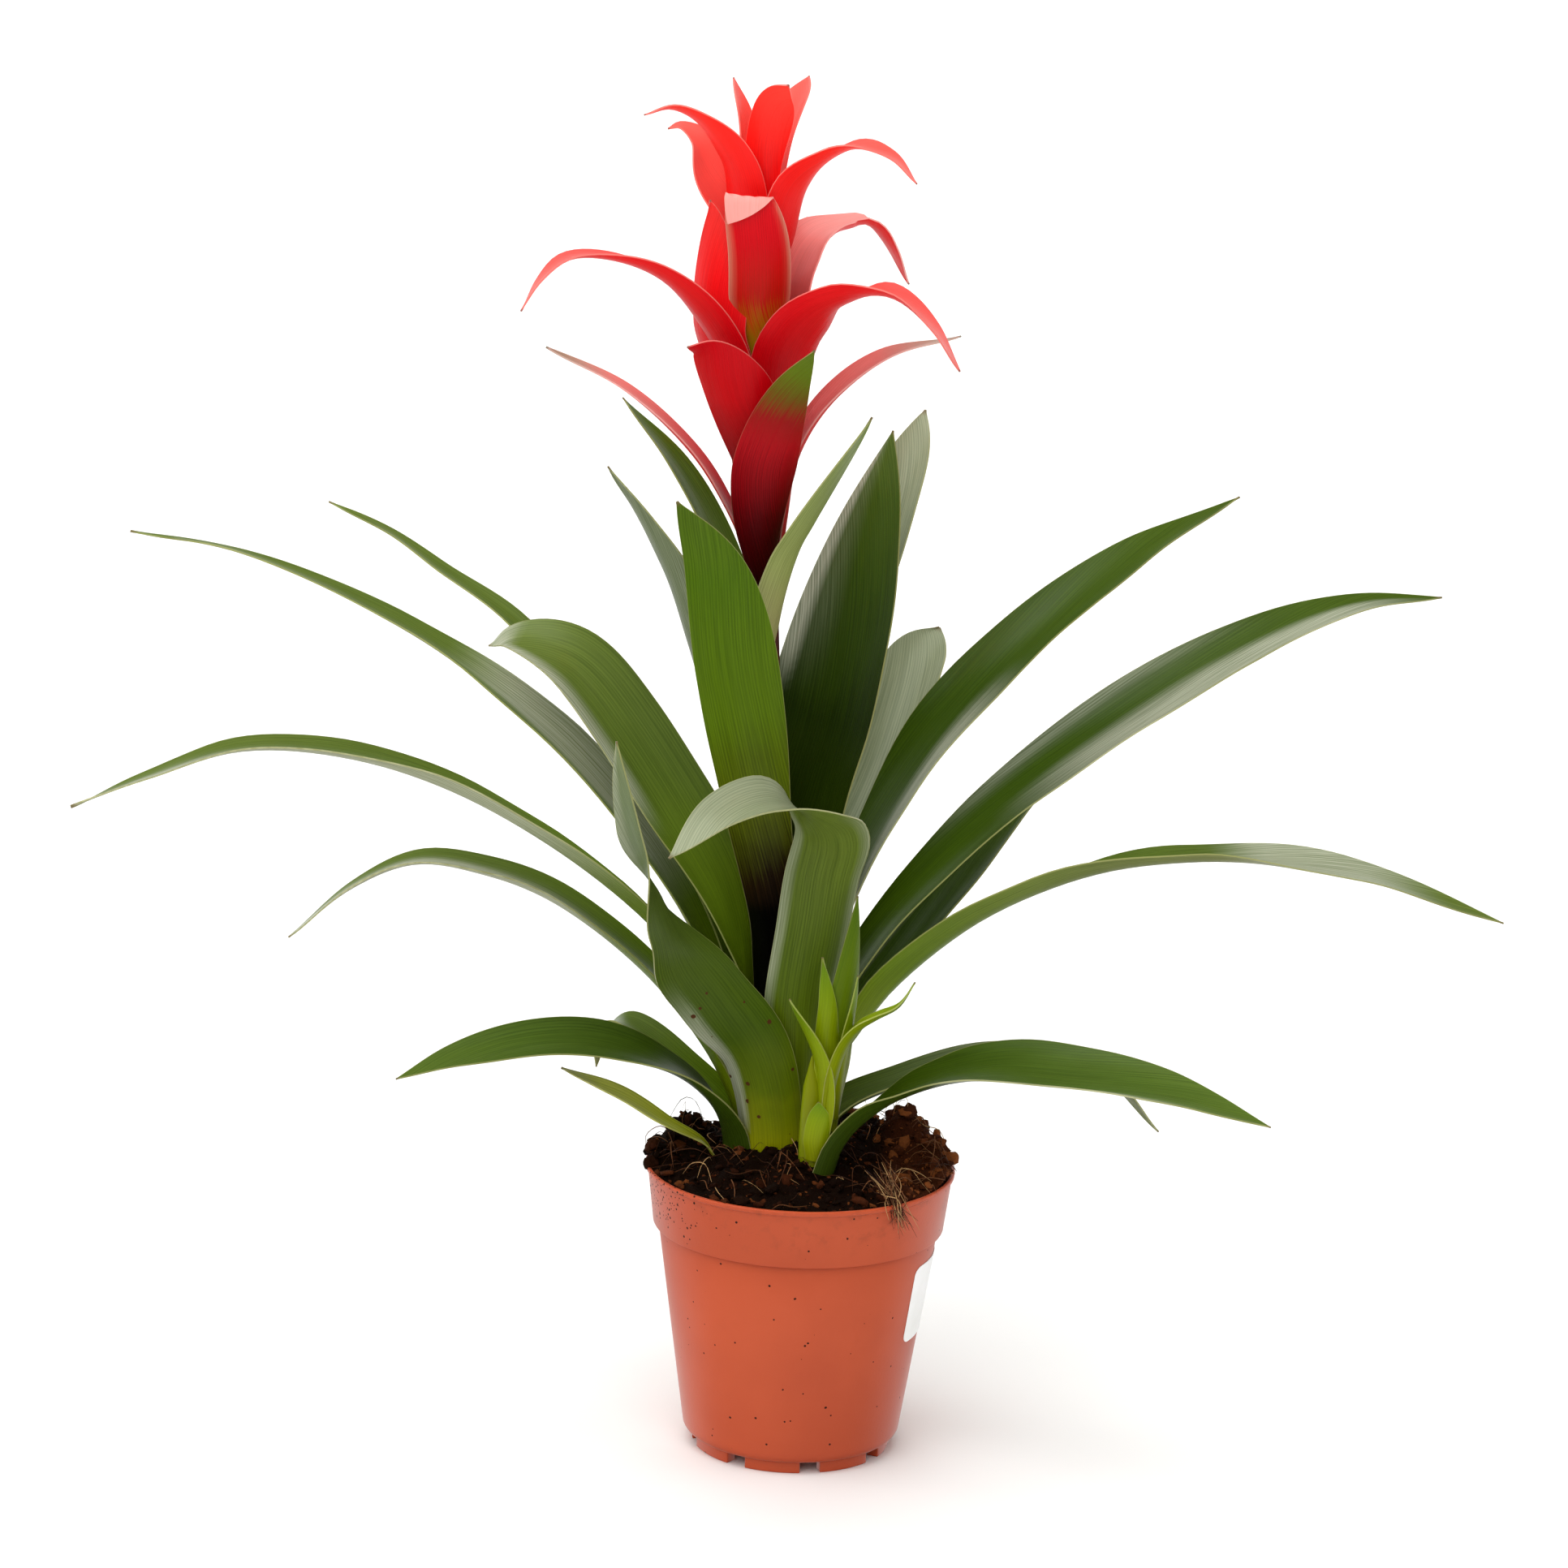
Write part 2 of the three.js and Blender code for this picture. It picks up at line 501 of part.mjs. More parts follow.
function soilSolid() {
  const random = seededRandom(CRUMB_SEED);
  const crumbs = [];
  for (let i = 0; i < CRUMB_COUNT; i += 1) {
    const angle = 2 * PI * random();
    const radius = SOIL_RADIUS * sqrt(random());
    const height = CRUMB_HEIGHT.from + CRUMB_HEIGHT.span * random();
    const reach = CRUMB_REACH.from + CRUMB_REACH.span * random();
    crumbs.push({ x: radius * cos(angle), y: radius * sin(angle), height, reach });
  }
  const wall = innerWall(GAP);
  const points = [new THREE.Vector3(0, 0, soilHeight(crumbs, 0, 0))];
  const ringCount = SOIL_RINGS + wall.length;
  for (let ring = 1; ring <= ringCount; ring += 1) {
    for (let sector = 0; sector < SOIL_SECTORS; sector += 1) {
      const angle = (2 * PI * sector) / SOIL_SECTORS;
      const [radius, depth] = ring <= SOIL_RINGS
        ? [(SOIL_RADIUS * ring) / SOIL_RINGS, null]
        : wall[ring - SOIL_RINGS - 1];
      const x = radius * cos(angle);
      const y = radius * sin(angle);
      points.push(new THREE.Vector3(x, y, depth ?? soilHeight(crumbs, x, y)));
    }
  }
  points.push(new THREE.Vector3(0, 0, INNER_FLOOR_HEIGHT + GAP));
  const triangles = [];
  const at = (ring, sector) => 1 + (ring - 1) * SOIL_SECTORS + (sector % SOIL_SECTORS);
  for (let sector = 0; sector < SOIL_SECTORS; sector += 1) {
    triangles.push(0, at(1, sector), at(1, sector + 1));
    triangles.push(points.length - 1, at(ringCount, sector + 1), at(ringCount, sector));
    for (let ring = 1; ring < ringCount; ring += 1) {
      triangles.push(at(ring, sector), at(ring + 1, sector), at(ring + 1, sector + 1));
      triangles.push(at(ring, sector), at(ring + 1, sector + 1), at(ring, sector + 1));
    }
  }
  return toSolid(gridGeometry(points, triangles));
}

// A round hole round the foot of a piece, with its floor just under that foot
function holeUnder(solid, x, y, radius) {
  const floor = solid.boundingBox().min[2] - GAP;
  const depth = 2 * (POT_HEIGHT - floor + SOIL_MOUND + CLODS[0].height);
  const hole = new THREE.CylinderGeometry(radius, radius, depth, HOLE_SIDES);
  hole.rotateX(PI / 2);
  hole.translate(x, y, floor + depth / 2);
  return toSolid(hole);
}

// Stem and shoot

function stemSolid(grow = 0) {
  const places = STALK_PATH.map(([shift, height]) => new THREE.Vector3(shift, 0, height));
  const round = new THREE.Shape();
  round.absarc(0, 0, STALK_RADIUS + grow, 0, 2 * PI, false);
  const stalk = new THREE.ExtrudeGeometry(round, {
    extrudePath: new THREE.CatmullRomCurve3(places),
    steps: STALK_STEPS,
    curveSegments: STALK_SIDES,
    bevelEnabled: false,
  });
  const foot = lathe([
    [0, STEM_FOOT],
    [STEM_RADIUS + grow, STEM_FOOT],
    [STEM_RADIUS + grow, STEM_SHOULDER],
    [STEM_TOP_RADIUS + grow, STEM_TOP],
    [0, STEM_TOP],
  ], STEM_SIDES);
  return foot.add(toSolid(stalk));
}

function shootSolid() {
  let shoot = lathe(SHOOT_STEM, SHOOT_SIDES);
  for (const blade of SHOOT_BLADES) {
    const curled = { ...blade, hug: SHOOT_HUG, channel: SHOOT_CHANNEL };
    const solid = bladeSolid(curled, SHOOT_GRID);
    shoot = shoot.add(solid.transform(bladeTurn(blade, 0).toArray()));
  }
  const place = new THREE.Matrix4().makeRotationY(SHOOT_TILT).setPosition(SHOOT_PLACE);
  return shoot.transform(place.toArray());
}

// Assembly

const plant = new THREE.Group();
plant.position.copy(CROWN);
plant.rotation.y = LEAN;
plant.updateMatrix();

const plantMatrix = plant.matrix.toArray();

const stem = stemSolid();
const taken = [stemSolid(GAP)];
addMesh(plant, 'stem', toGeometry(stem), LOOKS.stem);

const solids = {};
function addBlades(blades, grid, shift, look) {
  for (const blade of blades) {
    const turn = bladeTurn(blade, shift).toArray();
    const solid = clearOf(bladeSolid(blade, grid).transform(turn), taken);
    taken.push(bladeSolid(blade, grid, GAP).transform(turn));
    solids[blade.name] = solid.transform(plantMatrix);
    addMesh(plant, blade.name, toGeometry(solid), look);
  }
}

addBlades(BRACTS, BRACT_GRID, STALK_SHIFT, LOOKS.bract);
addBlades(LEAVES, LEAF_GRID, 0, LOOKS.leaf);

const shoot = clearOf(shootSolid(), taken);
addMesh(plant, 'offset_shoot', toGeometry(shoot), LOOKS.shoot);

const shootX = CROWN.x + SHOOT_PLACE.x;
const shootY = CROWN.y + SHOOT_PLACE.y;
const holes = [
  holeUnder(stem.transform(plantMatrix), CROWN.x, CROWN.y, CROWN_HOLE_RADIUS),
  holeUnder(shoot.transform(plantMatrix), shootX, shootY, SHOOT_HOLE_RADIUS),
  holeUnder(solids.leaf_low_right, LOW_LEAF_PLACE.x, LOW_LEAF_PLACE.y, LOW_LEAF_HOLE_RADIUS),
  holeUnder(solids.leaf_small_left, SMALL_LEAF_PLACE.x, SMALL_LEAF_PLACE.y, SMALL_LEAF_HOLE_RADIUS),
];
const soil = clearOf(soilSolid(), [...holes, ...taken.map((stout) => stout.transform(plantMatrix))]);

const object = new THREE.Group();
addMesh(object, 'pot', toGeometry(potSolid()), LOOKS.pot);
addMesh(object, 'pot_sticker', toGeometry(stickerSolid()), LOOKS.sticker);
addMesh(object, 'soil', toGeometry(soil), LOOKS.soil);
object.add(plant);

export default object;
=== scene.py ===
"""A guzmania in its nursery pot: strap leaves in a funnel, a red flower head and an offset shoot.

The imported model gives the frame. The scene is in metres, +Z up, with its origin on the ground
under the middle of the pot. The tables of blades and clods are in millimetres.
"""
import logging
import random
from collections.abc import Iterable, Iterator, Sequence
from contextlib import contextmanager
from dataclasses import dataclass, field
from enum import Enum
from functools import reduce
from math import cos, exp, hypot, pi, radians, sin, sqrt

import bpy
import numpy as np
from mathutils import Matrix, Vector, noise
from mathutils.geometry import interpolate_bezier


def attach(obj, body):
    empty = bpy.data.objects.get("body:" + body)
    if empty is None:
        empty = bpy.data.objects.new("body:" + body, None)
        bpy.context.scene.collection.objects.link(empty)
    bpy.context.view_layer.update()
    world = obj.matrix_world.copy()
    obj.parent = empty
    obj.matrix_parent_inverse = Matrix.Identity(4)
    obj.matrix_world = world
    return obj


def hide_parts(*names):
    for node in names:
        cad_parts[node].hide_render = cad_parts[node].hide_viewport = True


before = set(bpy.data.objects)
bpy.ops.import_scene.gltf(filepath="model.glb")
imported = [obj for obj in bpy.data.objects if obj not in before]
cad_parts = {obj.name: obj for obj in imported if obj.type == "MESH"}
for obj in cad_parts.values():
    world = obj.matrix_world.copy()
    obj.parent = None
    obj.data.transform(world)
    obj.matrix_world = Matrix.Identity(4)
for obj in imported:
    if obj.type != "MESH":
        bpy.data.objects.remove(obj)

LOG = logging.getLogger("guzmania")
MM = 0.001
ROOT = "root"

# The plant's crown stands a little off the pot's axis and leans to the left
CROWN = Vector((-0.010, 0.004, 0.112))
LEAN = radians(-2.1)
PLANT = Matrix.Translation(CROWN) @ Matrix.Rotation(LEAN, 4, "Y")
STALK_SHIFT = -0.003


class Slot(Enum):
    """The material slots that the record names."""

    POT = "pot_plastic"
    STICKER = "sticker_paper"
    PEAT = "peat"
    STALK = "stalk"
    LEAF = "green_leaf"
    YOUNG = "young_leaf"
    BRACT = "red_bract"


# Small helpers for shapes


def lerp(start: float, end: float, share: float) -> float:
    """Returns the value that lies that share of the way from start to end."""
    return start + (end - start) * share


def smoothstep(edge: float, value: float) -> float:
    """Returns 0 at and below 0, 1 at and above edge, and a smooth rise between them."""
    share = min(max(value / edge, 0), 1)
    return share * share * (3 - 2 * share)


def linear(colour: str) -> tuple[float, float, float, float]:
    """Turns a colour as it is seen on screen into the one that a shader takes.

    Args:
        colour: The colour as # and six hexadecimal digits.

    Returns:
        Red, green, blue and a full alpha, in linear light.
    """
    parts = (int(colour[start:start + 2], 16) / 255 for start in (1, 3, 5))
    red, green, blue = (
        part / 12.92 if part <= 0.04045 else ((part + 0.055) / 1.055) ** 2.4 for part in parts)
    return red, green, blue, 1


def smooth_path(rows: Sequence[Vector], per_span: int = 40) -> list[Vector]:
    """Draws a centripetal curve through rows of points.

    Args:
        rows: The points that the curve passes through.
        per_span: How many steps lie between two of them.

    Returns:
        The curve as many close points.
    """
    ends = [2 * rows[0] - rows[1], *rows, 2 * rows[-1] - rows[-2]]
    path = [rows[0].copy()]
    for before, start, stop, after in zip(ends, ends[1:], ends[2:], ends[3:]):
        come, go, leave = (sqrt((b - a).length) for a, b in ((before, start), (start, stop), (stop, after)))
        out = (start - before) / come - (stop - before) / (come + go) + (stop - start) / go
        into = (stop - start) / go - (after - start) / (go + leave) + (after - stop) / leave
        handles = (start + out * go / 3, stop - into * go / 3)
        path += interpolate_bezier(start, *handles, stop, per_span + 1)[1:]
    return path


@dataclass
class Route:
    """A path that is read by the share of its length."""

    points: list[Vector]

    def __post_init__(self) -> None:
        """Measures the path from its start to each of its points."""
        steps = [0.0] + [(b - a).length for a, b in zip(self.points, self.points[1:])]
        self.marks = np.cumsum(steps)
        self.length = float(self.marks[-1])

    def at(self, share: float) -> Vector:
        """Returns the place at that share of the length."""
        goal = min(max(share, 0), 1) * self.length
        index = int(min(max(np.searchsorted(self.marks, goal), 1), len(self.points) - 1))
        start, end = self.marks[index - 1], self.marks[index]
        return self.points[index - 1].lerp(self.points[index], float((goal - start) / (end - start)))

    def along(self, share: float, reach: float = 0.004) -> Vector:
        """Returns the direction of travel at that share of the length."""
        return (self.at(share + reach) - self.at(share - reach)).normalized()


# Small helpers for pieces


def deselect_all() -> None:
    """Leaves nothing selected, because operators act on all that is."""
    bpy.ops.object.select_all(action="DESELECT")


def pick(piece: bpy.types.Object) -> None:
    """Makes a piece the only one that is selected."""
    deselect_all()
    piece.select_set(True)
    bpy.context.view_layer.objects.active = piece


@contextmanager
def editing() -> Iterator[None]:
    """Opens the active piece for editing with all of it selected, and closes it afterwards."""
    bpy.ops.object.mode_set(mode="EDIT")
    bpy.ops.mesh.select_all(action="SELECT")
    yield
    bpy.ops.object.mode_set(mode="OBJECT")


def face_outward() -> None:
    """Turns all faces of the piece that is being edited outward."""
    bpy.ops.mesh.select_all(action="SELECT")
    bpy.ops.mesh.normals_make_consistent(inside=False)


def named(name: str) -> bpy.types.Object:
    """Gives the piece that was just added its name, and its place to its mesh.

    Args:
        name: The piece's name.

    Returns:
        The piece.
    """
    piece = bpy.context.object
    piece.name = piece.data.name = name
    bpy.ops.object.transform_apply(location=True, rotation=True, scale=True)
    return piece


def shape(piece: bpy.types.Object, kind: str, **settings: object) -> None:
    """Adds a modifier to a piece and applies it.

    Args:
        piece: The piece.
        kind: The modifier's type.
        settings: The modifier's values.
    """
    pick(piece)
    modifier = piece.modifiers.new(kind.title(), kind)
    for key, value in settings.items():
        setattr(modifier, key, value)
    bpy.ops.object.modifier_apply(modifier=modifier.name)


def combine(piece: bpy.types.Object, other: bpy.types.Object, operation: str) -> None:
    """Joins a piece with another, or cuts it by the other, which is then removed."""
    shape(piece, "BOOLEAN", operation=operation, solver="EXACT", object=other)
    bpy.data.objects.remove(other)


def soften(piece: bpy.types.Object, degrees: float = 40) -> None:
    """Shades a piece smooth, apart from edges that turn by more than that."""
    pick(piece)
    bpy.ops.object.shade_smooth_by_angle(angle=radians(degrees))


def turned(name: str, outline: Sequence[tuple[float, float]], sides: int) -> bpy.types.Object:
    """Draws a round piece out of a disc, which is extruded and resized along an outline.

    Args:
        name: The piece's name.
        outline: Rows of radius and height, from one cap to the other.
        sides: How many sides the piece has.

    Returns:
        The closed piece.
    """
    deselect_all()
    (radius, height), *rest = outline
    bpy.ops.mesh.primitive_circle_add(
        vertices=sides, radius=radius, fill_type="NGON", location=(0, 0, height))
    piece = named(name)
    with editing():
        for next_radius, next_height in rest:
            rise = {"value": (0, 0, next_height - height)}
            bpy.ops.mesh.extrude_region_move(TRANSFORM_OT_translate=rise)
            ratio = next_radius / radius
            bpy.ops.transform.resize(value=(ratio, ratio, 1), center_override=(0, 0, next_height))
            radius, height = next_radius, next_height
        face_outward()
    return piece


def join(pieces: Sequence[bpy.types.Object]) -> bpy.types.Object:
    """Joins pieces into the first of them and returns it."""
    pick(pieces[0])
    for piece in pieces[1:]:
        piece.select_set(True)
    bpy.ops.object.join()
    return pieces[0]


def finish(piece: bpy.types.Object, material: bpy.types.Material, slot: Slot, *nodes: str) -> None:
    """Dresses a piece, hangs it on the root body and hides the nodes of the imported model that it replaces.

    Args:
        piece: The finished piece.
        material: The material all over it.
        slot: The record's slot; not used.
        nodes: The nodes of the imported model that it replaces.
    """
    piece.data.materials.clear()
    piece.data.materials.append(material)
    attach(piece, ROOT)
    if nodes:
        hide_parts(*nodes)


# Shaders


class Shader:
    """Adds shader nodes to one tree and joins them."""

    def __init__(self, tree: bpy.types.NodeTree) -> None:
        """Keeps the tree."""
        self.tree = tree

    def add(self, kind: str, inputs: dict | None = None, **settings: object) -> bpy.types.Node:
        """Adds a node.

        Args:
            kind: The node's type, without ShaderNode.
            inputs: Values, # colours or outputs of other nodes, by the sockets' names or numbers.
            settings: The node's own settings.

        Returns:
            The node.
        """
        node = self.tree.nodes.new("ShaderNode" + kind)
        for key, value in settings.items():
            setattr(node, key, value)
        for key, value in (inputs or {}).items():
            if isinstance(value, bpy.types.NodeSocket):
                self.tree.links.new(value, node.inputs[key])
            else:
                node.inputs[key].default_value = linear(value) if isinstance(value, str) else value
        return node

    def math(self, operation: str, *values: object) -> bpy.types.NodeSocket:
        """Returns the result of a sum on values or sockets."""
        return self.add("Math", dict(enumerate(values)), operation=operation).outputs[0]

    def times(self, *values: object) -> bpy.types.NodeSocket:
        """Returns the product of two or more values or sockets."""
        return reduce(lambda first, second: self.math("MULTIPLY", first, second), values)

    def plus(self, first: object, second: object) -> bpy.types.NodeSocket:
        """Returns the sum of two values or sockets."""
        return self.math("ADD", first, second)

    def mix(self, mask: object, first: object, second: object, how: str = "MIX") -> bpy.types.NodeSocket:
        """Returns the first colour, with the second over it where the mask is 1."""
        node = self.add("Mix", {0: mask, 6: first, 7: second}, data_type="RGBA", blend_type=how)
        return node.outputs[2]

    def parts(self, vector: object) -> bpy.types.bpy_prop_collection:
        """Returns a vector's X, Y and Z."""
        return self.add("SeparateXYZ", {0: vector}).outputs

    def rise(self, value: object, low: object, high: object) -> bpy.types.NodeSocket:
        """Returns 0 where the value is at low, 1 where it is at high, and a smooth rise between them."""
        inputs = {"Value": value, "From Min": low, "From Max": high}
        return self.add("MapRange", inputs, interpolation_type="SMOOTHSTEP").outputs["Result"]

    def ramp(self, value: object, stops: Sequence[tuple[float, str]]) -> bpy.types.NodeSocket:
        """Returns the colour that the stops give for a value."""
        node = self.add("ValToRGB", {0: value})
        elements = node.color_ramp.elements
        for index, (place, colour) in enumerate(stops):
            element = elements[index] if index < 2 else elements.new(place)
            element.position = place
            element.color = linear(colour)
        return node.outputs["Color"]

    def noise(self, vector: object, scale: float, detail: float = 2,
              roughness: float = 0.5) -> bpy.types.NodeSocket:
        """Returns soft noise from 0 to 1 at places given by a vector."""
        inputs = {"Vector": vector, "Scale": scale, "Detail": detail, "Roughness": roughness}
        return self.add("TexNoise", inputs).outputs["Fac"]

    def places(self) -> bpy.types.NodeSocket:
        """Returns the place on the piece, in metres."""
        return self.add("TexCoord").outputs["Object"]

    def mark(self, name: str) -> bpy.types.NodeSocket:
        """Returns an attribute of the piece's own."""
        return self.add("Attribute", attribute_name=name).outputs["Fac"]

    def group(self, tree: bpy.types.NodeTree, inputs: dict | None = None) -> bpy.types.Node:
        """Places a node group, with its own values."""
        return self.add("Group", inputs, node_tree=tree)

    def paint(self, inputs: bpy.types.bpy_prop_collection, colour: bpy.types.NodeSocket,
              rough: bpy.types.NodeSocket, height: bpy.types.NodeSocket | None = None,
              depth: float = 0) -> None:
        """Joins a look to a Principled node.

        Args:
            inputs: The node's inputs.
            colour: The colour's socket.
            rough: The roughness's socket.
            height: The bump's height, if there is one.
            depth: The bump's depth, in metres.
        """
        self.tree.links.new(colour, inputs["Base Color"])
        self.tree.links.new(rough, inputs["Roughness"])
        if height is not None:
            bump = self.add("Bump", {"Distance": depth, "Height": height})
            self.tree.links.new(bump.outputs[0], inputs["Normal"])


def effect(name: str, inputs: dict[str, float], outputs: Sequence[str]) -> tuple[
        bpy.types.NodeTree, Shader, bpy.types.bpy_prop_collection, bpy.types.bpy_prop_collection]:
    """Starts a node group whose inputs and outputs are numbers.

    Args:
        name: The group's name.
        inputs: Names and usual values of its inputs.
        outputs: Names of its outputs.

    Returns:
        The group, a shader on it, its input node's outputs and its output node's inputs.
    """
    tree = bpy.data.node_groups.new(name, "ShaderNodeTree")
    for key, value in inputs.items():
        socket = tree.interface.new_socket(key, in_out="INPUT", socket_type="NodeSocketFloat")
        socket.default_value = value
    for key in outputs:
        tree.interface.new_socket(key, in_out="OUTPUT", socket_type="NodeSocketFloat")
    start = tree.nodes.new("NodeGroupInput")
    end = tree.nodes.new("NodeGroupOutput")
    return tree, Shader(tree), start.outputs, end.inputs


def material(name: str, gloss: float = 0.5, **constants: float) -> tuple[
        bpy.types.Material, Shader, bpy.types.bpy_prop_collection]:
    """Starts a material.

    Args:
        name: The material's name.
        gloss: The specular level.
        constants: More values for the shader's own sockets, with spaces as underscores.

    Returns:
        The material, a shader on it and the inputs of its Principled node.
    """
    made = bpy.data.materials.new(name)
    made.use_nodes = True
    inputs = made.node_tree.nodes["Principled BSDF"].inputs
    inputs["Specular IOR Level"].default_value = gloss
    for key, value in constants.items():
        inputs[key.replace("_", " ")].default_value = value
    return made, Shader(made.node_tree), inputs


def veins_group() -> bpy.types.NodeTree:
    """Fine even veins and broad ribs that run the length of a blade, in its own Grain coordinates."""
    tree, shader, start, end = effect("Blade veins", {"Fineness": 1.0}, ("Veins", "Ribs", "Height"))
    grain = shader.parts(shader.add("UVMap", uv_map="Grain").outputs[0])
    across = shader.times(grain["X"], start["Fineness"])
    fine = shader.add("CombineXYZ", {"X": across, "Y": shader.times(grain["Y"], 0.012)}).outputs[0]
    broad_across = shader.times(across, 0.3)
    broad_along = shader.times(grain["Y"], 0.006)
    broad = shader.add("CombineXYZ", {"X": broad_across, "Y": broad_along}).outputs[0]
    streaks = shader.noise(fine, 1.8, 3, 0.65)
    ribs = shader.noise(broad, 1.0, 1)
    phase = shader.plus(shader.times(across, 5.6), shader.times(ribs, 9.0))
    lines = shader.math("SINE", phase)
    even = shader.plus(shader.times(lines, 0.12), 0.5)
    veins = shader.plus(shader.times(streaks, 0.6), shader.times(even, 0.4))
    height = shader.plus(shader.times(veins, 0.5), shader.times(ribs, 0.5))
    for key, value in (("Veins", veins), ("Ribs", ribs), ("Height", height)):
        tree.links.new(value, end[key])
    return tree


def margin_group() -> bpy.types.NodeTree:
    """A band along both edges of a blade, from the distance to the edge in millimetres."""
    tree, shader, start, end = effect("Blade margin", {"Width": 0.5}, ("Band",))
    band = shader.math("SUBTRACT", 1.0, shader.rise(shader.mark("edge"), 0.0, start["Width"]))
    tree.links.new(band, end["Band"])
    return tree


def specks_group() -> bpy.types.NodeTree:
    """Scattered round specks, such as dirt."""
    tree, shader, start, end = effect("Specks", {"Scale": 400.0, "Size": 0.2, "Share": 0.1}, ("Specks",))
    cells = shader.add("TexVoronoi", {"Vector": shader.places(), "Scale": start["Scale"]})
    chance = shader.add("SeparateColor", {0: cells.outputs["Color"]})
    size = shader.times(start["Size"], chance.outputs["Green"])
    inside = shader.math("LESS_THAN", cells.outputs["Distance"], size)
    chosen = shader.math("LESS_THAN", chance.outputs["Red"], start["Share"])
    tree.links.new(shader.times(inside, chosen), end["Specks"])
    return tree


def clouds_group() -> bpy.types.NodeTree:
    """Broad soft blotches, from 0 to 1."""
    tree, shader, start, end = effect("Clouds", {"Scale": 30.0}, ("Clouds",))
    inputs = {"Vector": shader.places(), "Scale": start["Scale"], "Detail": 3.0}
    soft = shader.add("TexNoise", inputs).outputs["Fac"]
    tree.links.new(shader.rise(soft, 0.3, 0.7), end["Clouds"])
    return tree


@dataclass
class Effects:
    """The node groups that several materials share."""

    veins: bpy.types.NodeTree = field(default_factory=veins_group)
    margin: bpy.types.NodeTree = field(default_factory=margin_group)
    specks: bpy.types.NodeTree = field(default_factory=specks_group)
    clouds: bpy.types.NodeTree = field(default_factory=clouds_group)

    def blotches(self, shader: Shader, scale: float) -> bpy.types.NodeSocket:
        """Returns broad soft blotches of that scale."""
        return shader.group(self.clouds, {"Scale": scale}).outputs["Clouds"]

    def dots(self, shader: Shader, scale: float, size: float, share: object) -> bpy.types.NodeSocket:
        """Returns specks of that scale and size, in that share of the places for them."""
        inputs = {"Scale": scale, "Size": size, "Share": share}
        return shader.group(self.specks, inputs).outputs["Specks"]


# Blades


@dataclass(frozen=True)
class BladeFinish:
    """How a blade looks: colours from its foot to its tip, the paler veil on its upper face, partly the
    face's own paler colour and partly painted sheen, and its edge.
    """

    title: str
    stops: tuple[tuple[float, str], ...]
    veil: str
    veil_share: float = 0.25
    margin: str = "#b0ac70"
    margin_width: float = 0.3
    margin_share: float = 0.45
    roughness: float = 0.36
    gloss: float = 0.14
    shine: float = 0.4
    vein_shade: float = 0.65
    vein_depth: float = 0.0003
    fineness: float = 1.0
    specks: float = 0.0
    tip: str = "#6d5c3c"
    drift: float = 0.12
    # The bands' colour: a painted sheen on most blades, a darker green on the shoot
    pale: str = "#b9bba6"
    under: str = "#9a9a68"
    under_share: float = 0.0
    veil_span: tuple[float, float] = (0.1, 0.6)
    vein_span: tuple[float, float] = (0.62, 0.38)
    vein_tint: tuple[float, float, float, float] = (0.45, 0.5, 0.4, 1)
    speck_span: tuple[float, float] = (0.5, 0.05)
    speck_scale: float = 420.0
    speck_size: float = 0.42
    speck_colour: str = "#4a2a12"
    dry_span: tuple[float, float] = (0.965, 0.995)
    dry_share: float = 0.8
    cloud_scale: float = 26.0

    def dress(self, effects: Effects) -> bpy.types.Material:
        """Builds the material.

        Args:
            effects: The shared node groups.

        Returns:
            The material for the upper side, the underside and the rim alike.
        """
        made, shader, principled = material(self.title, self.gloss, Coat_Roughness=0.3)
        length = shader.parts(shader.add("UVMap", uv_map="UVMap").outputs[0])["Y"]
        veins = shader.group(effects.veins, {"Fineness": self.fineness})
        clouds = effects.blotches(shader, self.cloud_scale)
        wander = shader.times(shader.math("SUBTRACT", clouds, 0.5), 0.05)
        streak = shader.times(shader.math("SUBTRACT", veins.outputs["Veins"], 0.5), self.drift)
        place = shader.plus(length, shader.plus(wander, streak))
        colour = shader.ramp(place, self.stops)
        upper = shader.math("SUBTRACT", 1.0, shader.mark("under"))
        # The upper face's paler veil: partly its own colour, partly painted sheen, rising along the blade
        open_part = shader.rise(length, *self.veil_span)
        veil = shader.times(upper, open_part, self.veil_share)
        colour = shader.mix(veil, colour, self.veil)
        below = shader.times(shader.mark("under"), open_part, self.under_share)
        colour = shader.mix(below, colour, self.under)
        uneven = shader.plus(shader.times(veins.outputs["Veins"], 1.6), 0.1)
        # Bands of painted sheen, streaked by the veins
        colour = shader.mix(shader.times(shader.mark("pale"), uneven), colour, self.pale)
        dark = shader.times(shader.rise(veins.outputs["Veins"], *self.vein_span), self.vein_shade)
        colour = shader.mix(dark, colour, shader.mix(1.0, colour, self.vein_tint, "MULTIPLY"))
        if self.specks:
            share = shader.times(shader.rise(length, *self.speck_span), self.specks)
            specks = effects.dots(shader, self.speck_scale, self.speck_size, share)
            colour = shader.mix(specks, colour, self.speck_colour)
        band = shader.group(effects.margin, {"Width": self.margin_width}).outputs["Band"]
        edge = shader.math("MAXIMUM", band, shader.mark("rim"))
        colour = shader.mix(shader.times(edge, self.margin_share), colour, self.margin)
        dry = shader.rise(length, *self.dry_span)
        colour = shader.mix(shader.times(dry, self.dry_share), colour, self.tip)
        rough = shader.plus(shader.times(veins.outputs["Ribs"], 0.16), self.roughness - 0.08)
        shader.paint(principled, colour, rough, veins.outputs["Height"], self.vein_depth)
        coat = shader.times(shader.plus(shader.times(upper, 0.9), 0.1), self.shine)
        made.node_tree.links.new(coat, principled["Coat Weight"])
        return made


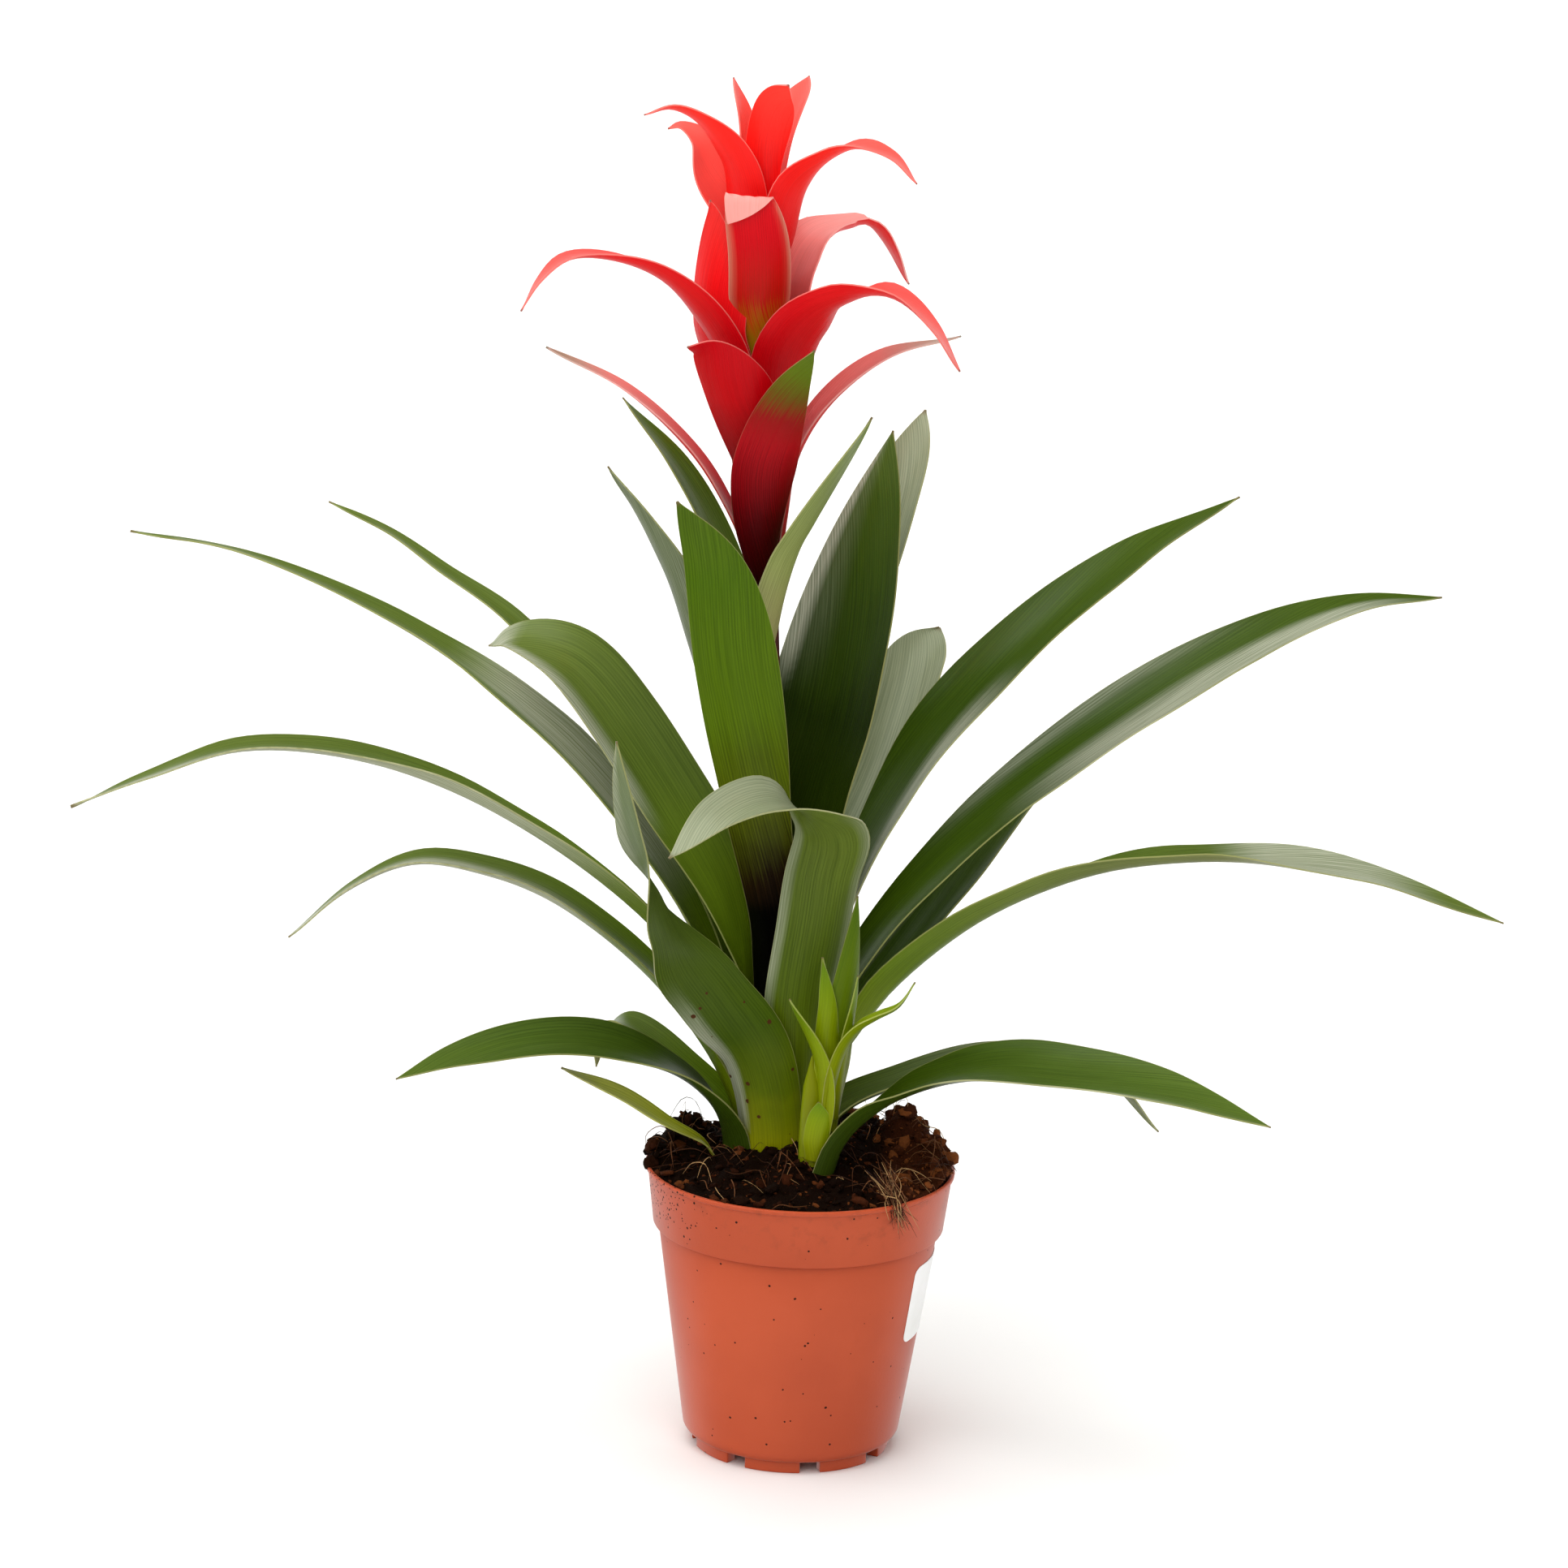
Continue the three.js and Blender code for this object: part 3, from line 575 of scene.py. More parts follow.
def bract(title: str, stops: tuple[tuple[float, str], ...], **looks: object) -> BladeFinish:
    """Returns a bract's finish, which has the bracts' usual looks apart from those given."""
    usual = {"veil": "#ff9488", "veil_share": 0.3, "margin_share": 0.3, "gloss": 0.12, "shine": 0.3,
             "vein_shade": 0.22, "fineness": 1.3}
    return BladeFinish(title, stops, **(usual | looks))


class Dress(Enum):
    """The finishes of leaves and bracts."""

    FLAME = bract("Bract flame", (
        (0.0, "#c60a10"), (0.3, "#f01216"), (0.6, "#ff2820"), (0.92, "#ff3c30")),
        margin="#f0a89c", tip="#8a5546")
    SCARLET = bract("Bract scarlet", (
        (0.0, "#7a0208"), (0.3, "#d00512"), (0.6, "#f01a1e"), (0.9, "#ea302c")),
        margin="#e8a49a", shine=0.35, tip="#806054")
    PINK_FACED = bract("Bract pink", (
        (0.0, "#a50410"), (0.35, "#ea1420"), (0.6, "#f62a2c"), (0.95, "#e82a28")),
        veil="#f9b4ac", veil_share=0.75, margin="#f2c4bc", shine=0.4, vein_shade=0.2, tip="#6c5548")
    CRIMSON = bract("Bract crimson", (
        (0.0, "#380103"), (0.3, "#8c0108"), (0.55, "#c4000c"), (0.95, "#c80816")),
        veil="#f0807a", veil_share=0.25, margin="#d49488", gloss=0.1, tip="#7d6a5c")
    OLIVE_TIPPED = bract("Bract with an olive tip", (
        (0.0, "#1c0002"), (0.25, "#5c0108"), (0.5, "#a80512"), (0.62, "#921410"), (0.72, "#6a4e0f"),
        (0.82, "#5e7010"), (1.0, "#5c701e")),
        veil="#a8906a", veil_share=0.1, drift=0.4, margin="#b98a70", gloss=0.1, vein_shade=0.25,
        tip="#5d5238")
    GREEN_FOOTED = bract("Bract with a green foot", (
        (0.0, "#7c8a0a"), (0.08, "#a0960e"), (0.16, "#b8640f"), (0.25, "#b81c10"), (0.5, "#ce0010"),
        (0.9, "#ee0a1c")),
        veil="#ffb8ae", veil_share=0.8, drift=0.4, margin="#f0b4a8", margin_share=0.4, gloss=0.1,
        shine=0.4, pale="#c89c80", vein_shade=0.2, tip="#d08a80")
    ROSE = bract("Bract rose", (
        (0.0, "#a50a16"), (0.35, "#e4242e"), (0.66, "#e0544e"), (0.8, "#a07058"), (0.9, "#606c3e"),
        (1.0, "#4a5634")),
        veil="#f7b4ac", veil_share=0.35, margin="#f0ccc2", margin_share=0.4, gloss=0.15, shine=0.4,
        vein_shade=0.25, tip="#70705a")
    DEEP = BladeFinish("Leaf deep green", (
        (0.0, "#7f8f0c"), (0.12, "#425a08"), (0.45, "#344c04"), (1.0, "#43580c")),
        veil="#66783c", veil_share=0.1, shine=0.25)
    GREEN = BladeFinish("Leaf green", (
        (0.0, "#8a9610"), (0.16, "#6a8410"), (0.5, "#4f6606"), (1.0, "#5e701c")),
        veil="#7d8858", veil_share=0.2, under="#a9a678", under_share=0.5)
    # A green that greys towards the tip, with a strong veil: a painted silver sheen
    SILVER = BladeFinish("Leaf green with painted silver sheen", (
        (0.0, "#5c6a1a"), (0.3, "#4e641c"), (0.6, "#69764a"), (1.0, "#8c9470")),
        veil="#a9ac92", veil_share=0.45, roughness=0.4)
    # The near-black foot is painted shade deep in the crown; the dark brown above it is the leaf's own stain
    BROWN_FOOTED = BladeFinish("Leaf with a brown foot and painted shade", (
        (0.0, "#010101"), (0.18, "#050302"), (0.24, "#241404"), (0.33, "#525c04"), (0.5, "#587204"),
        (0.75, "#4f6e04"), (1.0, "#536c14")), veil="#66783c", veil_share=0.15)
    # Its strong veil is a painted silver sheen on the folded flap
    FOLDED = BladeFinish("Leaf folded over", (
        (0.0, "#6a780a"), (0.25, "#53680a"), (0.6, "#5a7014"), (1.0, "#6c7a42")),
        veil="#aeb09a", veil_share=0.6, under_share=0.15)
    SHEATH = BladeFinish("Leaf sheath", (
        (0.0, "#9c9802"), (0.05, "#8c8e04"), (0.13, "#5c6c04"), (0.24, "#405602"), (0.6, "#42580e"),
        (0.8, "#4e6422"), (1.0, "#6a7640")),
        veil="#8a9470", veil_share=0.4, specks=0.16, under_share=0.1)
    HEART = BladeFinish("Leaf of the heart", (
        (0.0, "#b09070"), (0.45, "#b39c6c"), (0.6, "#94a04c"), (0.8, "#6c8434"), (1.0, "#5c7a34")),
        veil="#a9ac7c", veil_share=0.35, under="#b0b080", under_share=0.3)
    DARK = BladeFinish("Leaf dark green", (
        (0.0, "#33430a"), (0.4, "#1c2c02"), (0.62, "#304603"), (0.8, "#3e5608"), (1.0, "#5c7430")),
        veil="#66783c", veil_share=0.04, gloss=0.08, shine=0.05)
    # A green whose foot is dark: painted shade under the leaves above
    LOW = BladeFinish("Leaf low green", (
        (0.0, "#35450a"), (0.25, "#354b05"), (0.6, "#425c08"), (1.0, "#526a12")),
        veil="#7d8858", veil_share=0.12, shine=0.2)
    YELLOW = BladeFinish("Leaf yellow green", (
        (0.0, "#7e800e"), (0.35, "#b4b822"), (0.7, "#c4c648"), (0.95, "#a8a078")), veil="#c8ca80")
    YOUNG = BladeFinish("Shoot", (
        (0.0, "#7e8404"), (0.3, "#869206"), (0.6, "#809406"), (0.9, "#688610"), (1.0, "#6c7c1c")),
        veil="#a3b82c", veil_share=0.2, shine=0.3, pale="#45600a", vein_shade=0.3, margin_share=0.35,
        specks=0.05)


@dataclass(frozen=True)
class Band:
    """A band of painted sheen (a darker green on the shoot): where it rises across the blade and where it
    rises and fades along it, in shares.
    """

    across: tuple[float, float]
    along: tuple[float, float, float, float]
    strength: float = 0.8

    def at(self, across: float, along: float) -> float:
        """Returns how strong the band is at a place."""
        edge, full = self.across
        rise, risen, fade, faded = self.along
        inside = smoothstep(1, (across - edge) / (full - edge))
        risen_share = smoothstep(1, (along - rise) / (risen - rise))
        length = risen_share * smoothstep(1, (faded - along) / (faded - fade))
        return inside * length * self.strength


# A blade's foot reaches this far round the stem, its width tapers from this share of its length on,
# and its tip is this wide, in millimetres
HUG_ANGLE = 0.95
TAPER_SHARE = 0.45
TIP_WIDTH = 0.5


@dataclass(frozen=True)
class Blade:
    """A leaf or bract: an azimuth about the crown and a spine of rows of out, up and side.

    A fold turns the tip back over a line, given by a place across in millimetres, a share of the length
    and the line's slant in degrees.
    """

    name: str
    azimuth: float
    width: float
    dress: Dress
    spine: tuple[tuple[float, ...], ...]
    blunt: float = 2.2
    full: float = 0.36
    hug: float = 0.0
    channel: float = 0.0
    roll: tuple[float, ...] = (0, 0)
    fold: tuple[float, float, float] | None = None
    # Bands of painted sheen over the blade's colour
    bands: tuple[Band, ...] = ()

    def route(self) -> Route:
        """Returns the smooth path along the blade's middle."""
        rows = [Vector((out, rest[1] if len(rest) > 1 else 0, rest[0])) for out, *rest in self.spine]
        return Route(smooth_path(rows))

    def foot_hug(self) -> float:
        """Returns the radius that the blade's foot wraps round."""
        return self.hug or self.spine[0][0]

    def width_at(self, share: float) -> float:
        """Returns the width: narrow at the foot, full at the share full, then drawn to a tip."""
        foot = min(2 * HUG_ANGLE * self.foot_hug(), self.width)
        past = max(0, (share - TAPER_SHARE) / (1 - TAPER_SHARE))
        drawn = 1 - past ** self.blunt
        return max(lerp(foot, self.width, smoothstep(self.full, share)) * drawn, TIP_WIDTH)

    def roll_at(self, share: float) -> float:
        """Returns the roll in radians, which turns smoothly through the blade's list."""
        place = share * (len(self.roll) - 1)
        index = min(int(place), len(self.roll) - 2)
        return radians(lerp(self.roll[index], self.roll[index + 1], smoothstep(1, place - index)))


BRACTS: tuple[Blade, ...] = (
    Blade("bract_top_front", 262, 18.5, Dress.FLAME, blunt=5, full=0.95, spine=(
        (5.4, 359), (8, 391), (11, 408, 4), (13, 416, 7), (15, 421, 11))),
    Blade("bract_top_right", 35, 22, Dress.FLAME, blunt=5, full=0.9, spine=(
        (3.7, 357, 2), (5, 368, 3), (7, 379, 4), (12, 397, 5), (23, 420, 5))),
    Blade("bract_top_left", 158, 17, Dress.FLAME, blunt=2.8, spine=(
        (5.4, 352), (7, 370), (8.5, 392), (9.5, 408), (13, 421))),
    Blade("bract_left_high", 225, 20, Dress.FLAME, roll=(0, 5, 10, 0, -15, -5), spine=(
        (5.6, 336), (8, 354), (11, 372), (14, 390, -2), (23, 405, -8), (34, 412, -14), (44, 410, -19))),
    Blade("bract_left_high_back", 158, 26, Dress.FLAME, blunt=1.7, roll=(0, -15, -30, -10), spine=(
        (1.2, 334, -2), (10, 361, -1), (22, 384, -1), (27, 397, -1), (34, 402, 1), (38, 401, 4))),
    Blade("bract_back_high", 96, 19, Dress.FLAME, spine=(
        (5.6, 322), (11, 354), (21, 378), (36, 387), (48, 379))),
    Blade("bract_right_high", -14, 25, Dress.FLAME, roll=(0, -12, -22, -22, -8, 8, 14), spine=(
        (3.6, 327, -1), (9, 366, -4), (16, 384, -5), (35, 397, -4), (49, 394, -2), (58, 384))),
    Blade("bract_front_middle", 272, 24.5, Dress.GREEN_FOOTED, blunt=3.1, fold=(0, 0.82, 21),
        bands=(Band((0.12, 0.03), (0.2, 0.3, 0.7, 0.8), 0.7),
        Band((0.9, 0.98), (0.15, 0.25, 0.7, 0.8), 0.7)), spine=(
        (5.5, 314, -3), (9, 326, -3), (17, 360, -3), (22, 387, -9), (23, 394, -10))),
    Blade("bract_back_middle", 114, 20, Dress.SCARLET, spine=(
        (5.6, 300), (11, 328), (22, 348), (40, 354), (54, 344))),
    Blade("bract_right_middle", 24, 30, Dress.PINK_FACED, roll=(0, 12, 20, 16, 0, -16, -18), spine=(
        (3.4, 294, 1), (15, 348, 4), (24, 360, 4), (36, 363, 4), (42, 364, 2), (51, 354, -1),
        (57, 341, -4))),
    Blade("bract_left_middle_back", 225, 27, Dress.SCARLET, roll=(0, 8, 16, 16), spine=(
        (1.9, 290, 2), (15, 315, -8), (18, 327, -10), (18, 339, -9), (19, 371, -8), (20, 377, -9))),
    Blade("bract_left_middle", 222, 24, Dress.SCARLET, roll=(0, 0, -4, -13, -18, -10), spine=(
        (5.6, 268), (12, 299, -1), (21, 326, -5), (38, 347, -11), (58, 357, -17), (77, 359, -23),
        (87, 352, -26), (95, 341, -28))),
    Blade("bract_right_lower", -24, 30, Dress.SCARLET, roll=(0, -12, -34, -34, -18, 0, 4, 4), spine=(
        (3.8, 271, -2), (13, 318, -7), (19, 328, -8), (31, 339, -8), (52, 344, -4), (68, 332, 1),
        (77, 316, 5))),
    Blade("bract_back_lower", 95, 21, Dress.CRIMSON, spine=(
        (5.6, 258), (11, 288), (24, 308), (44, 315), (60, 304))),
    Blade("bract_front_left", 246, 34, Dress.CRIMSON, blunt=3.4, full=0.7, spine=(
        (4.2, 249, 3), (17, 286, 1), (27, 311, -3), (35, 324, -8), (41, 326, -13))),
    Blade("bract_left_back", 134, 16, Dress.CRIMSON, spine=(
        (5.6, 244), (11, 268), (19, 296), (30, 316), (40, 328))),
    Blade("bract_right_low", 12, 17, Dress.ROSE, roll=(0, 0, 6, 8, 0), spine=(
        (5.6, 236), (8, 256), (12, 278), (24, 298), (46, 315), (75, 322))),
    Blade("bract_left_low", 172, 13, Dress.ROSE, spine=(
        (5.6, 228), (9, 244), (17, 262), (29, 280), (54, 303), (84, 318))),
    Blade("bract_front_low", 285, 27, Dress.OLIVE_TIPPED, full=0.55, spine=(
        (5.6, 226, -2), (15, 256, -6), (26, 284, -5), (35, 310, 1), (42, 326, 8))),
)

LEAVES: tuple[Blade, ...] = (
    Blade("leaf_heart_right", -30, 28, Dress.HEART, blunt=2.6, hug=5, spine=(
        (3.6, 78, -1), (3, 109, -3), (-1, 161, -6), (2, 204, -9), (12, 242, -8), (18, 253, -8),
        (43, 298, -1))),
    Blade("leaf_heart_left", 155, 27, Dress.BROWN_FOOTED, blunt=2.8, spine=(
        (6.3, 76), (8, 130), (12, 184), (22, 234), (42, 273), (64, 296))),
    Blade("leaf_tall_right", 60, 50, Dress.DARK, bands=(Band((0.82, 0.92), (0.5, 0.62, 0.93, 1)),
        Band((0.55, 0.8), (0.5, 0.7, 1, 1.1), 0.12)), spine=(
        (6.9, 68), (9, 102), (12, 138, -4), (25, 171, -8), (41, 210, -10), (58, 251, -11),
        (71, 278, -11))),
    Blade("leaf_heart_front", 215, 33, Dress.DEEP, full=0.85,
        bands=(Band((2, 1), (0.2, 0.4, 2, 3), 0.35),), spine=(
        (7, 66), (10, 110, -1.5), (19, 159, -1), (34, 208), (45, 238), (60, 264), (74, 283))),
    Blade("leaf_tall_right_back", 57, 31, Dress.SILVER, blunt=6, spine=(
        (7.7, 58), (14, 110), (33, 160), (57, 206), (83, 245), (106, 280))),
    Blade("leaf_tall_front", 262, 36, Dress.BROWN_FOOTED, blunt=3.6, full=0.75, spine=(
        (7.9, 56), (10, 80), (13, 102, 1), (19, 145, -4), (30, 195, -9), (43, 244, -16),
        (53, 271, -28))),
    Blade("leaf_heart_back", 112, 26, Dress.DEEP, spine=(
        (8.4, 49), (14, 92), (24, 128), (40, 164))),
    Blade("leaf_broad_left", 164, 32, Dress.GREEN, blunt=6, roll=(0, -20, -45, -45, -30),
        bands=(Band((0.74, 0.95), (0.45, 0.6, 1, 1.1)), Band((2, 1), (0.93, 0.97, 2, 3))), spine=(
        (8.8, 44), (12, 80, 1), (21, 109, 2), (60, 171, 2), (82, 195, 1), (106, 202), (115, 198))),
    Blade("leaf_upper_right", 29, 36, Dress.DEEP, full=0.58, roll=(0, -4, 8, 12, 8),
        bands=(Band((0.5, 0.28), (0.1, 0.22, 0.45, 0.62), 0.9),), spine=(
        (9, 40), (17, 70), (31, 98), (46, 126), (72, 161), (111, 194), (162, 226), (208, 243))),
    Blade("leaf_blunt_right", 57, 34, Dress.SILVER, blunt=12, spine=(
        (9.5, 34), (20, 68), (36, 98), (76, 141), (107, 180, 2), (116, 191, -1))),
    Blade("leaf_back_high", 98, 32, Dress.GREEN, spine=(
        (9.8, 30), (20, 70), (42, 108), (66, 134), (88, 138), (104, 124))),
    Blade("leaf_slim_left", 150, 17, Dress.GREEN, spine=(
        (9.9, 29), (18, 72), (34, 108), (60, 144), (92, 178), (120, 202), (151, 218), (176, 231),
        (205, 240))),
    Blade("leaf_long_left_upper", 159, 26, Dress.GREEN, blunt=1.05, roll=(0, -4, -8, -2, 0, 0),
        bands=(Band((0.8, 0.6), (0.22, 0.33, 0.5, 0.62), 0.85),), spine=(
        (10.5, 21), (19, 55), (30, 86), (53, 122), (87, 157), (122, 183), (173, 208), (225, 224),
        (274, 229))),
    Blade("leaf_long_right_upper", 20, 37, Dress.DEEP, full=0.7, roll=(0, 4, 13, 20, 19, 8),
        bands=(Band((0.6, 0.35), (0.38, 0.55, 0.85, 1)), Band((0.8, 0.92), (0.3, 0.45, 0.6, 0.8), 0.4)),
        spine=(
        (10.7, 24), (22, 53), (36, 77), (53, 98), (89, 130), (137, 161), (190, 188), (241, 204),
        (279, 204))),
    Blade("leaf_front_fold", 283, 31, Dress.FOLDED, blunt=3.6, roll=(0, 0, 0, -20, -62, -72),
        bands=(Band((0.14, 0.05), (0.12, 0.3, 0.6, 0.7), 0.6),
        Band((0.88, 0.96), (0.15, 0.3, 0.6, 0.7), 0.5)), spine=(
        (11.5, 16, 2), (14, 40, 4), (17, 65, 6), (21, 95, 11), (28, 119, 13), (40, 138, 13),
        (54, 151, 3), (62, 161, -14), (70, 159, -36), (76, 145, -56))),
    Blade("leaf_long_left", 198, 32, Dress.GREEN, bands=(Band((0.4, 0.75), (0.3, 0.5, 1, 1.1), 0.7),),
        spine=(
        (10.9, 18), (17, 44), (27, 70), (50, 100), (86, 132), (128, 159), (169, 175), (208, 180),
        (243, 172), (271, 163))),
    Blade("leaf_long_right_lower", 8, 30, Dress.GREEN, roll=(0, -36, -24, -6, 14, 20),
        bands=(Band((2, 1), (0.62, 0.7, 0.8, 0.93), 0.75),), spine=(
        (11.2, 14), (20, 32), (32, 50), (46, 69), (81, 95), (128, 112), (180, 115), (232, 107),
        (287, 86))),
    Blade("leaf_back_middle", 92, 30, Dress.GREEN, spine=(
        (11.2, 12), (24, 38), (44, 64), (70, 80), (92, 78), (106, 60))),
    Blade("leaf_right_back", 40, 26, Dress.DEEP, bands=(Band((0.88, 0.97), (0, 0.1, 1, 1.1), 0.9),),
        spine=(
        (11.6, 8), (28, 37, 2), (51, 59, 1), (96, 98), (124, 118), (135, 124))),
    Blade("leaf_middle_left", 180, 28, Dress.GREEN, bands=(Band((0.2, 0.5), (0.4, 0.55, 1, 1.1)),),
        spine=(
        (11.6, 6), (19, 30), (28, 48), (49, 76), (83, 104), (111, 116), (137, 120), (162, 110),
        (187, 90))),
    Blade("leaf_front_sheath", 262, 31, Dress.SHEATH, hug=14.5, roll=(0, 0, 35, 88, 130, 135),
        bands=(Band((0.26, 0.12), (0.06, 0.1, 0.25, 0.5), 0.9),
        Band((0.6, 0.9), (0.6, 0.75, 1, 1.1), 0.5),), spine=(
        (15.4, 2, 0), (17, 22, 0), (24, 50, -4), (33, 72, -15), (42, 93, -27), (60, 129, -38),
        (73, 156, -43), (79, 173, -45), (81, 186, -46))),
    Blade("leaf_low_left", 208, 25, Dress.LOW, hug=16.5, roll=(0, -10, -22, -22, -10), spine=(
        (18, 3, -4), (19.5, 15, -4), (28, 29, -2.5), (47, 45), (74, 57), (104, 62), (136, 61),
        (159, 56))),
    Blade("leaf_low_back", 85, 26, Dress.GREEN, spine=(
        (12.5, 3), (28, 24), (50, 38), (76, 42), (96, 34), (106, 18))),
    Blade("leaf_low_left_back", 150, 20, Dress.GREEN, spine=(
        (12.5, 2), (24, 19), (42, 33, 2), (69, 47, 1), (78, 41, 1), (82, 26))),
    Blade("leaf_low_right_back", 30, 22, Dress.SILVER, spine=(
        (12.5, 2), (30, 17), (60, 24), (90, 28), (120, 25), (143, 16), (160, 4), (177, -15))),
    Blade("leaf_low_right", -32, 33, Dress.LOW, hug=9, roll=(0, 16, 30, 32, 34, 34, 32, 28, 24),
        bands=(Band((0.12, 0.03), (0.3, 0.4, 0.7, 0.9), 0.7),), spine=(
        (36, 5, -17), (38, 14, -14), (43, 23, -9), (63, 39, -3), (95, 52), (134, 56), (174, 57),
        (217, 51))),
    Blade("leaf_small_left", 200, 10, Dress.YELLOW, hug=1.8, full=0.75, roll=(0, -20, -35, -35, -20),
        spine=(
        (23, 0), (29, 11), (44, 21), (63, 34), (86, 47))),
)


@dataclass
class BladeMaker:
    """Makes blades of one kind."""

    stations: int
    columns: int = 12
    thickness: float = 0.0006
    wave: float = 0.6
    open_share: float = 0.3
    channel_ratio: float = 0.75
    fold_radius: float = 1.1
    crowding: float = 1.3
    wave_pitch: float = 0.028
    edge_phase: float = 2.3
    seed_phase: float = 7.7
    grain_step: float = 53.0

    def folded(self, blade: Blade, cross: float, run: float, length: float) -> tuple[float, float, float]:
        """Turns a place beyond the blade's fold line back over it.

        Args:
            blade: The blade.
            cross: The place across the flat blade, in millimetres.
            run: The place along it.
            length: The blade's length.

        Returns:
            The place across and along after the fold, and how far it stands off the outer face.
        """
        if blade.fold is None:
            return cross, run, 0.0
        start, share, slant = blade.fold
        beyond_cross, beyond_run = sin(radians(slant)), cos(radians(slant))
        past = (cross - start) * beyond_cross + (run - share * length) * beyond_run
        if past <= 0:
            return cross, run, 0.0
        turn = min(past / self.fold_radius, pi)
        reach = self.fold_radius * sin(turn) - max(past - pi * self.fold_radius, 0)
        move = reach - past
        return cross + move * beyond_cross, run + move * beyond_run, self.fold_radius * (1 - cos(turn))

    def frames(self, blade: Blade) -> Iterator[tuple[float, Vector, Vector, Vector, float]]:
        """Carries the across direction along the spine without twist.

        Args:
            blade: The blade.

        Yields:
            Share of length, place, across direction, upper face's direction and length in millimetres so far.
        """
        route = blade.route()
        across = Vector((0, 1, 0))
        for station in range(self.stations + 1):
            share = 1 - (1 - station / self.stations) ** self.crowding
            along = route.along(share)
            across = (across - along * across.dot(along)).normalized()
            roll = blade.roll_at(share)
            side = across * cos(roll) + along.cross(across) * sin(roll)
            yield share, route.at(share), side, along.cross(side), share * route.length

    def make(self, blade: Blade, place: Matrix, seed: int) -> bpy.types.Object:
        """Makes one blade from a flat grid, bent along its spine and given its thickness.

        Args:
            blade: The blade.
            place: Where its own frame stands in the scene.
            seed: A number of its own, which sets its waves and its grain.

        Returns:
            The closed blade, with the attributes edge, under and rim, an attribute for the strength of its
            bands of painted sheen, and the UV map Grain.
        """
        deselect_all()
        bpy.ops.mesh.primitive_grid_add(x_subdivisions=self.columns, y_subdivisions=self.stations, size=1)
        piece = named(blade.name)
        mesh = piece.data
        frames = list(self.frames(blade))
        edge, pale = (mesh.attributes.new(name, "FLOAT", "POINT") for name in ("edge", "pale"))
        grain = []
        shares, runs = [row[0] for row in frames], [row[4] for row in frames]
        for vertex in mesh.vertices:
            cross_share = 0.5 - vertex.co.x
            share, _, _, _, run = frames[round((vertex.co.y + 0.5) * self.stations)]
            width = blade.width_at(share)
            cross, place_run, off = self.folded(blade, (cross_share - 0.5) * width, run, runs[-1])
            spot = float(np.interp(place_run, runs, range(len(runs))))
            low = min(int(spot), len(frames) - 2)
            middle, side, face = (
                frames[low][part].lerp(frames[low + 1][part], spot - low) for part in (1, 2, 3))
            here = float(np.interp(place_run, runs, shares))
            point, normal = self.section(blade, here, cross, side.normalized(), face.normalized())
            lift = self.ripple(cross_share - 0.5, run, seed) * smoothstep(0.3, share) - off
            edge.data[vertex.index].value = (0.5 - abs(cross_share - 0.5)) * width
            # How strong the bands of painted sheen are here
            strengths = (band.at(cross_share, share) for band in blade.bands)
            pale.data[vertex.index].value = max(strengths, default=0)
            vertex.co = place @ ((middle + point + normal * lift) * MM)
            grain.append((cross_share * width + self.grain_step * seed, run))
        layer = mesh.uv_layers.new(name="Grain")
        for loop, spot in zip(mesh.loops, layer.uv):
            spot.vector = grain[loop.vertex_index]
        self.thicken(piece)
        return piece

    def section(self, blade: Blade, share: float, cross: float, side: Vector,
                face: Vector) -> tuple[Vector, Vector]:
        """Bends the section into an arc that hugs the stem at the foot and opens to a channel.

        Args:
            blade: The blade.
            share: The share of its length.
            cross: The place across it, in millimetres from its middle.
            side: The across direction there.
            face: The upper face's direction there.

        Returns:
            The place from the spine, and the arc's own normal.
        """
        channel = blade.channel or blade.width * self.channel_ratio
        bend = lerp(1 / blade.foot_hug(), 1 / channel, smoothstep(self.open_share, share))
        turn = cross * bend
        point = side * (sin(turn) / bend) + face * ((1 - cos(turn)) / bend)
        return point, face * cos(turn) - side * sin(turn)

    def ripple(self, cross: float, run: float, seed: int) -> float:
        """Returns how far an edge waves out of its surface, in millimetres."""
        where = Vector((run * self.wave_pitch, self.edge_phase * (cross > 0), self.seed_phase * seed))
        wave = noise.noise(where)
        return self.wave * wave * (2 * cross) ** 2 * 2

    def thicken(self, piece: bpy.types.Object) -> None:
        """Gives a blade its thickness and marks its underside and its rim."""
        mesh = piece.data
        for _ in range(3):
            mesh.materials.append(None)
        shape(piece, "SOLIDIFY", thickness=self.thickness, offset=0, material_offset=1, material_offset_rim=2)
        kinds = [polygon.material_index for polygon in mesh.polygons]
        for name, kind in (("under", 1), ("rim", 2)):
            mark = mesh.attributes.new(name, "FLOAT", "FACE")
            mark.data.foreach_set("value", [float(found == kind) for found in kinds])
        mesh.polygons.foreach_set("material_index", [0] * len(kinds))
        soften(piece, 50)


@dataclass
class Wardrobe:
    """Keeps each blade finish's material, so that it is built once."""

    effects: Effects
    made: dict[Dress, bpy.types.Material] = field(default_factory=dict)

    def fetch(self, dress: Dress) -> bpy.types.Material:
        """Returns the material of a finish."""
        if dress not in self.made:
            self.made[dress] = dress.value.dress(self.effects)
        return self.made[dress]


